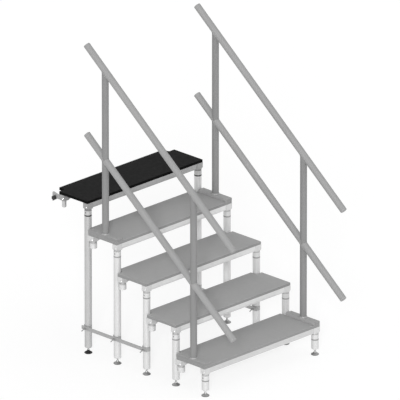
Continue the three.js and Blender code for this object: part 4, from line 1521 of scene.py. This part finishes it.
def build_couplers():
    for side in SIDES:
        node = f"coupler_{side}"
        arm = coupler(side)
        piece(f"coupler_jaw_{side}", arm, "coupler", stands_for=[node], even_light=True)
        body = f"coupler_knob_{side}"
        piece(f"clamp_knob_{side}", clamp_knob(side), "knob", body, stands_for=[body])
        node = f"coupling_pin_{side}"
        piece(f"stage_pin_{side}", coupling_pin(side), "pin", stands_for=[node])


# The photograph's view: a parallel projection from the front left, so a very long lens
CAMERA_AZIMUTH = math.radians(-45.42)
CAMERA_ELEVATION = math.radians(21.24)
CAMERA_LENS = 1600
SENSOR = 36
VIEW_WIDTH = 2.427
VIEW_CENTRE = Vector((0.0178, -0.0083, 0.9992))
FAR_CLIP = 400


def build_camera():
    data = bpy.data.cameras.new("camera")
    data.lens = CAMERA_LENS
    data.sensor_width = SENSOR
    data.clip_end = FAR_CLIP
    camera = bpy.data.objects.new("camera", data)
    bpy.context.scene.collection.objects.link(camera)
    level = math.cos(CAMERA_ELEVATION)
    back = Vector((math.sin(CAMERA_AZIMUTH), -math.cos(CAMERA_AZIMUTH), 0)) * level
    back.z = math.sin(CAMERA_ELEVATION)
    distance = VIEW_WIDTH / 2 * CAMERA_LENS / (SENSOR / 2)
    camera.location = VIEW_CENTRE + back * distance
    camera.rotation_mode = "QUATERNION"
    camera.rotation_quaternion = (-back).to_track_quat("-Z", "Y")
    bpy.context.scene.camera = camera


# The studio
FLOOR_HALF = 30.0
FLOOR_CELLS = 8
FLOOR_DROP = 0.0002
FLOOR_LEVEL = 253
FLOOR_GLOW = 1.05
FLOOR_GLOW_SHARE = 0.75
FLOOR_LIGHT_SHARE = 0.4
SKY_STRENGTH = 0.58
# Lamps, far away and broad: strength, angle across, and where from
LAMPS = {
    "window": (2.1, math.radians(12), Vector((-0.70, -0.63, 0.39))),
    "fill": (0.4, math.radians(90), Vector((0.5, -0.75, 0.45))),
}


def build_floor():
    shape = bmesh.new()
    bmesh.ops.create_grid(shape, x_segments=FLOOR_CELLS, y_segments=FLOOR_CELLS, size=FLOOR_HALF)
    floor = bpy.data.objects.new("floor", as_mesh(shifted(shape, z=FLOOR_Z - FLOOR_DROP), "floor"))
    bpy.context.scene.collection.objects.link(floor)
    material = bpy.data.materials.new("studio_floor")
    material.use_nodes = True
    tree = material.node_tree
    tree.nodes.clear()
    paint = put(tree, "BsdfDiffuse", {"Color": grey(FLOOR_LEVEL)})
    glow = put(tree, "Emission", {"Strength": FLOOR_GLOW})
    seen = put(tree, "LightPath").outputs["Is Camera Ray"]
    share = spread(tree, seen, 0.0, 1.0, FLOOR_LIGHT_SHARE, FLOOR_GLOW_SHARE)
    mixed = put(tree, "MixShader", {0: share, 1: paint.outputs[0], 2: glow.outputs[0]})
    put(tree, "OutputMaterial", {"Surface": mixed.outputs[0]})
    floor.data.materials.append(material)


def build_light():
    world = bpy.data.worlds.new("studio")
    bpy.context.scene.world = world
    world.use_nodes = True
    tree = world.node_tree
    tree.nodes.clear()
    path = put(tree, "LightPath").outputs
    seen = maths(tree, "MAXIMUM", path["Is Camera Ray"], path["Is Glossy Ray"])
    seen = maths(tree, "MAXIMUM", seen, path["Is Transmission Ray"])
    glow = spread(tree, seen, 0.0, 1.0, SKY_STRENGTH, 1.0)
    sky = put(tree, "Background", {"Color": (1, 1, 1, 1), "Strength": glow})
    put(tree, "OutputWorld", {"Surface": sky.outputs[0]})
    for name, (strength, angle, source) in LAMPS.items():
        lamp = bpy.data.lights.new(name, "SUN")
        lamp.energy = strength
        lamp.angle = angle
        holder = bpy.data.objects.new(name, lamp)
        holder.rotation_mode = "QUATERNION"
        holder.rotation_quaternion = (-source).to_track_quat("-Z", "Y")
        bpy.context.scene.collection.objects.link(holder)
    bpy.context.scene.view_settings.view_transform = "Standard"


build_camera()
build_floor()
build_light()
build_treads()
build_legs()
build_handrails()
build_ties()
build_couplers()
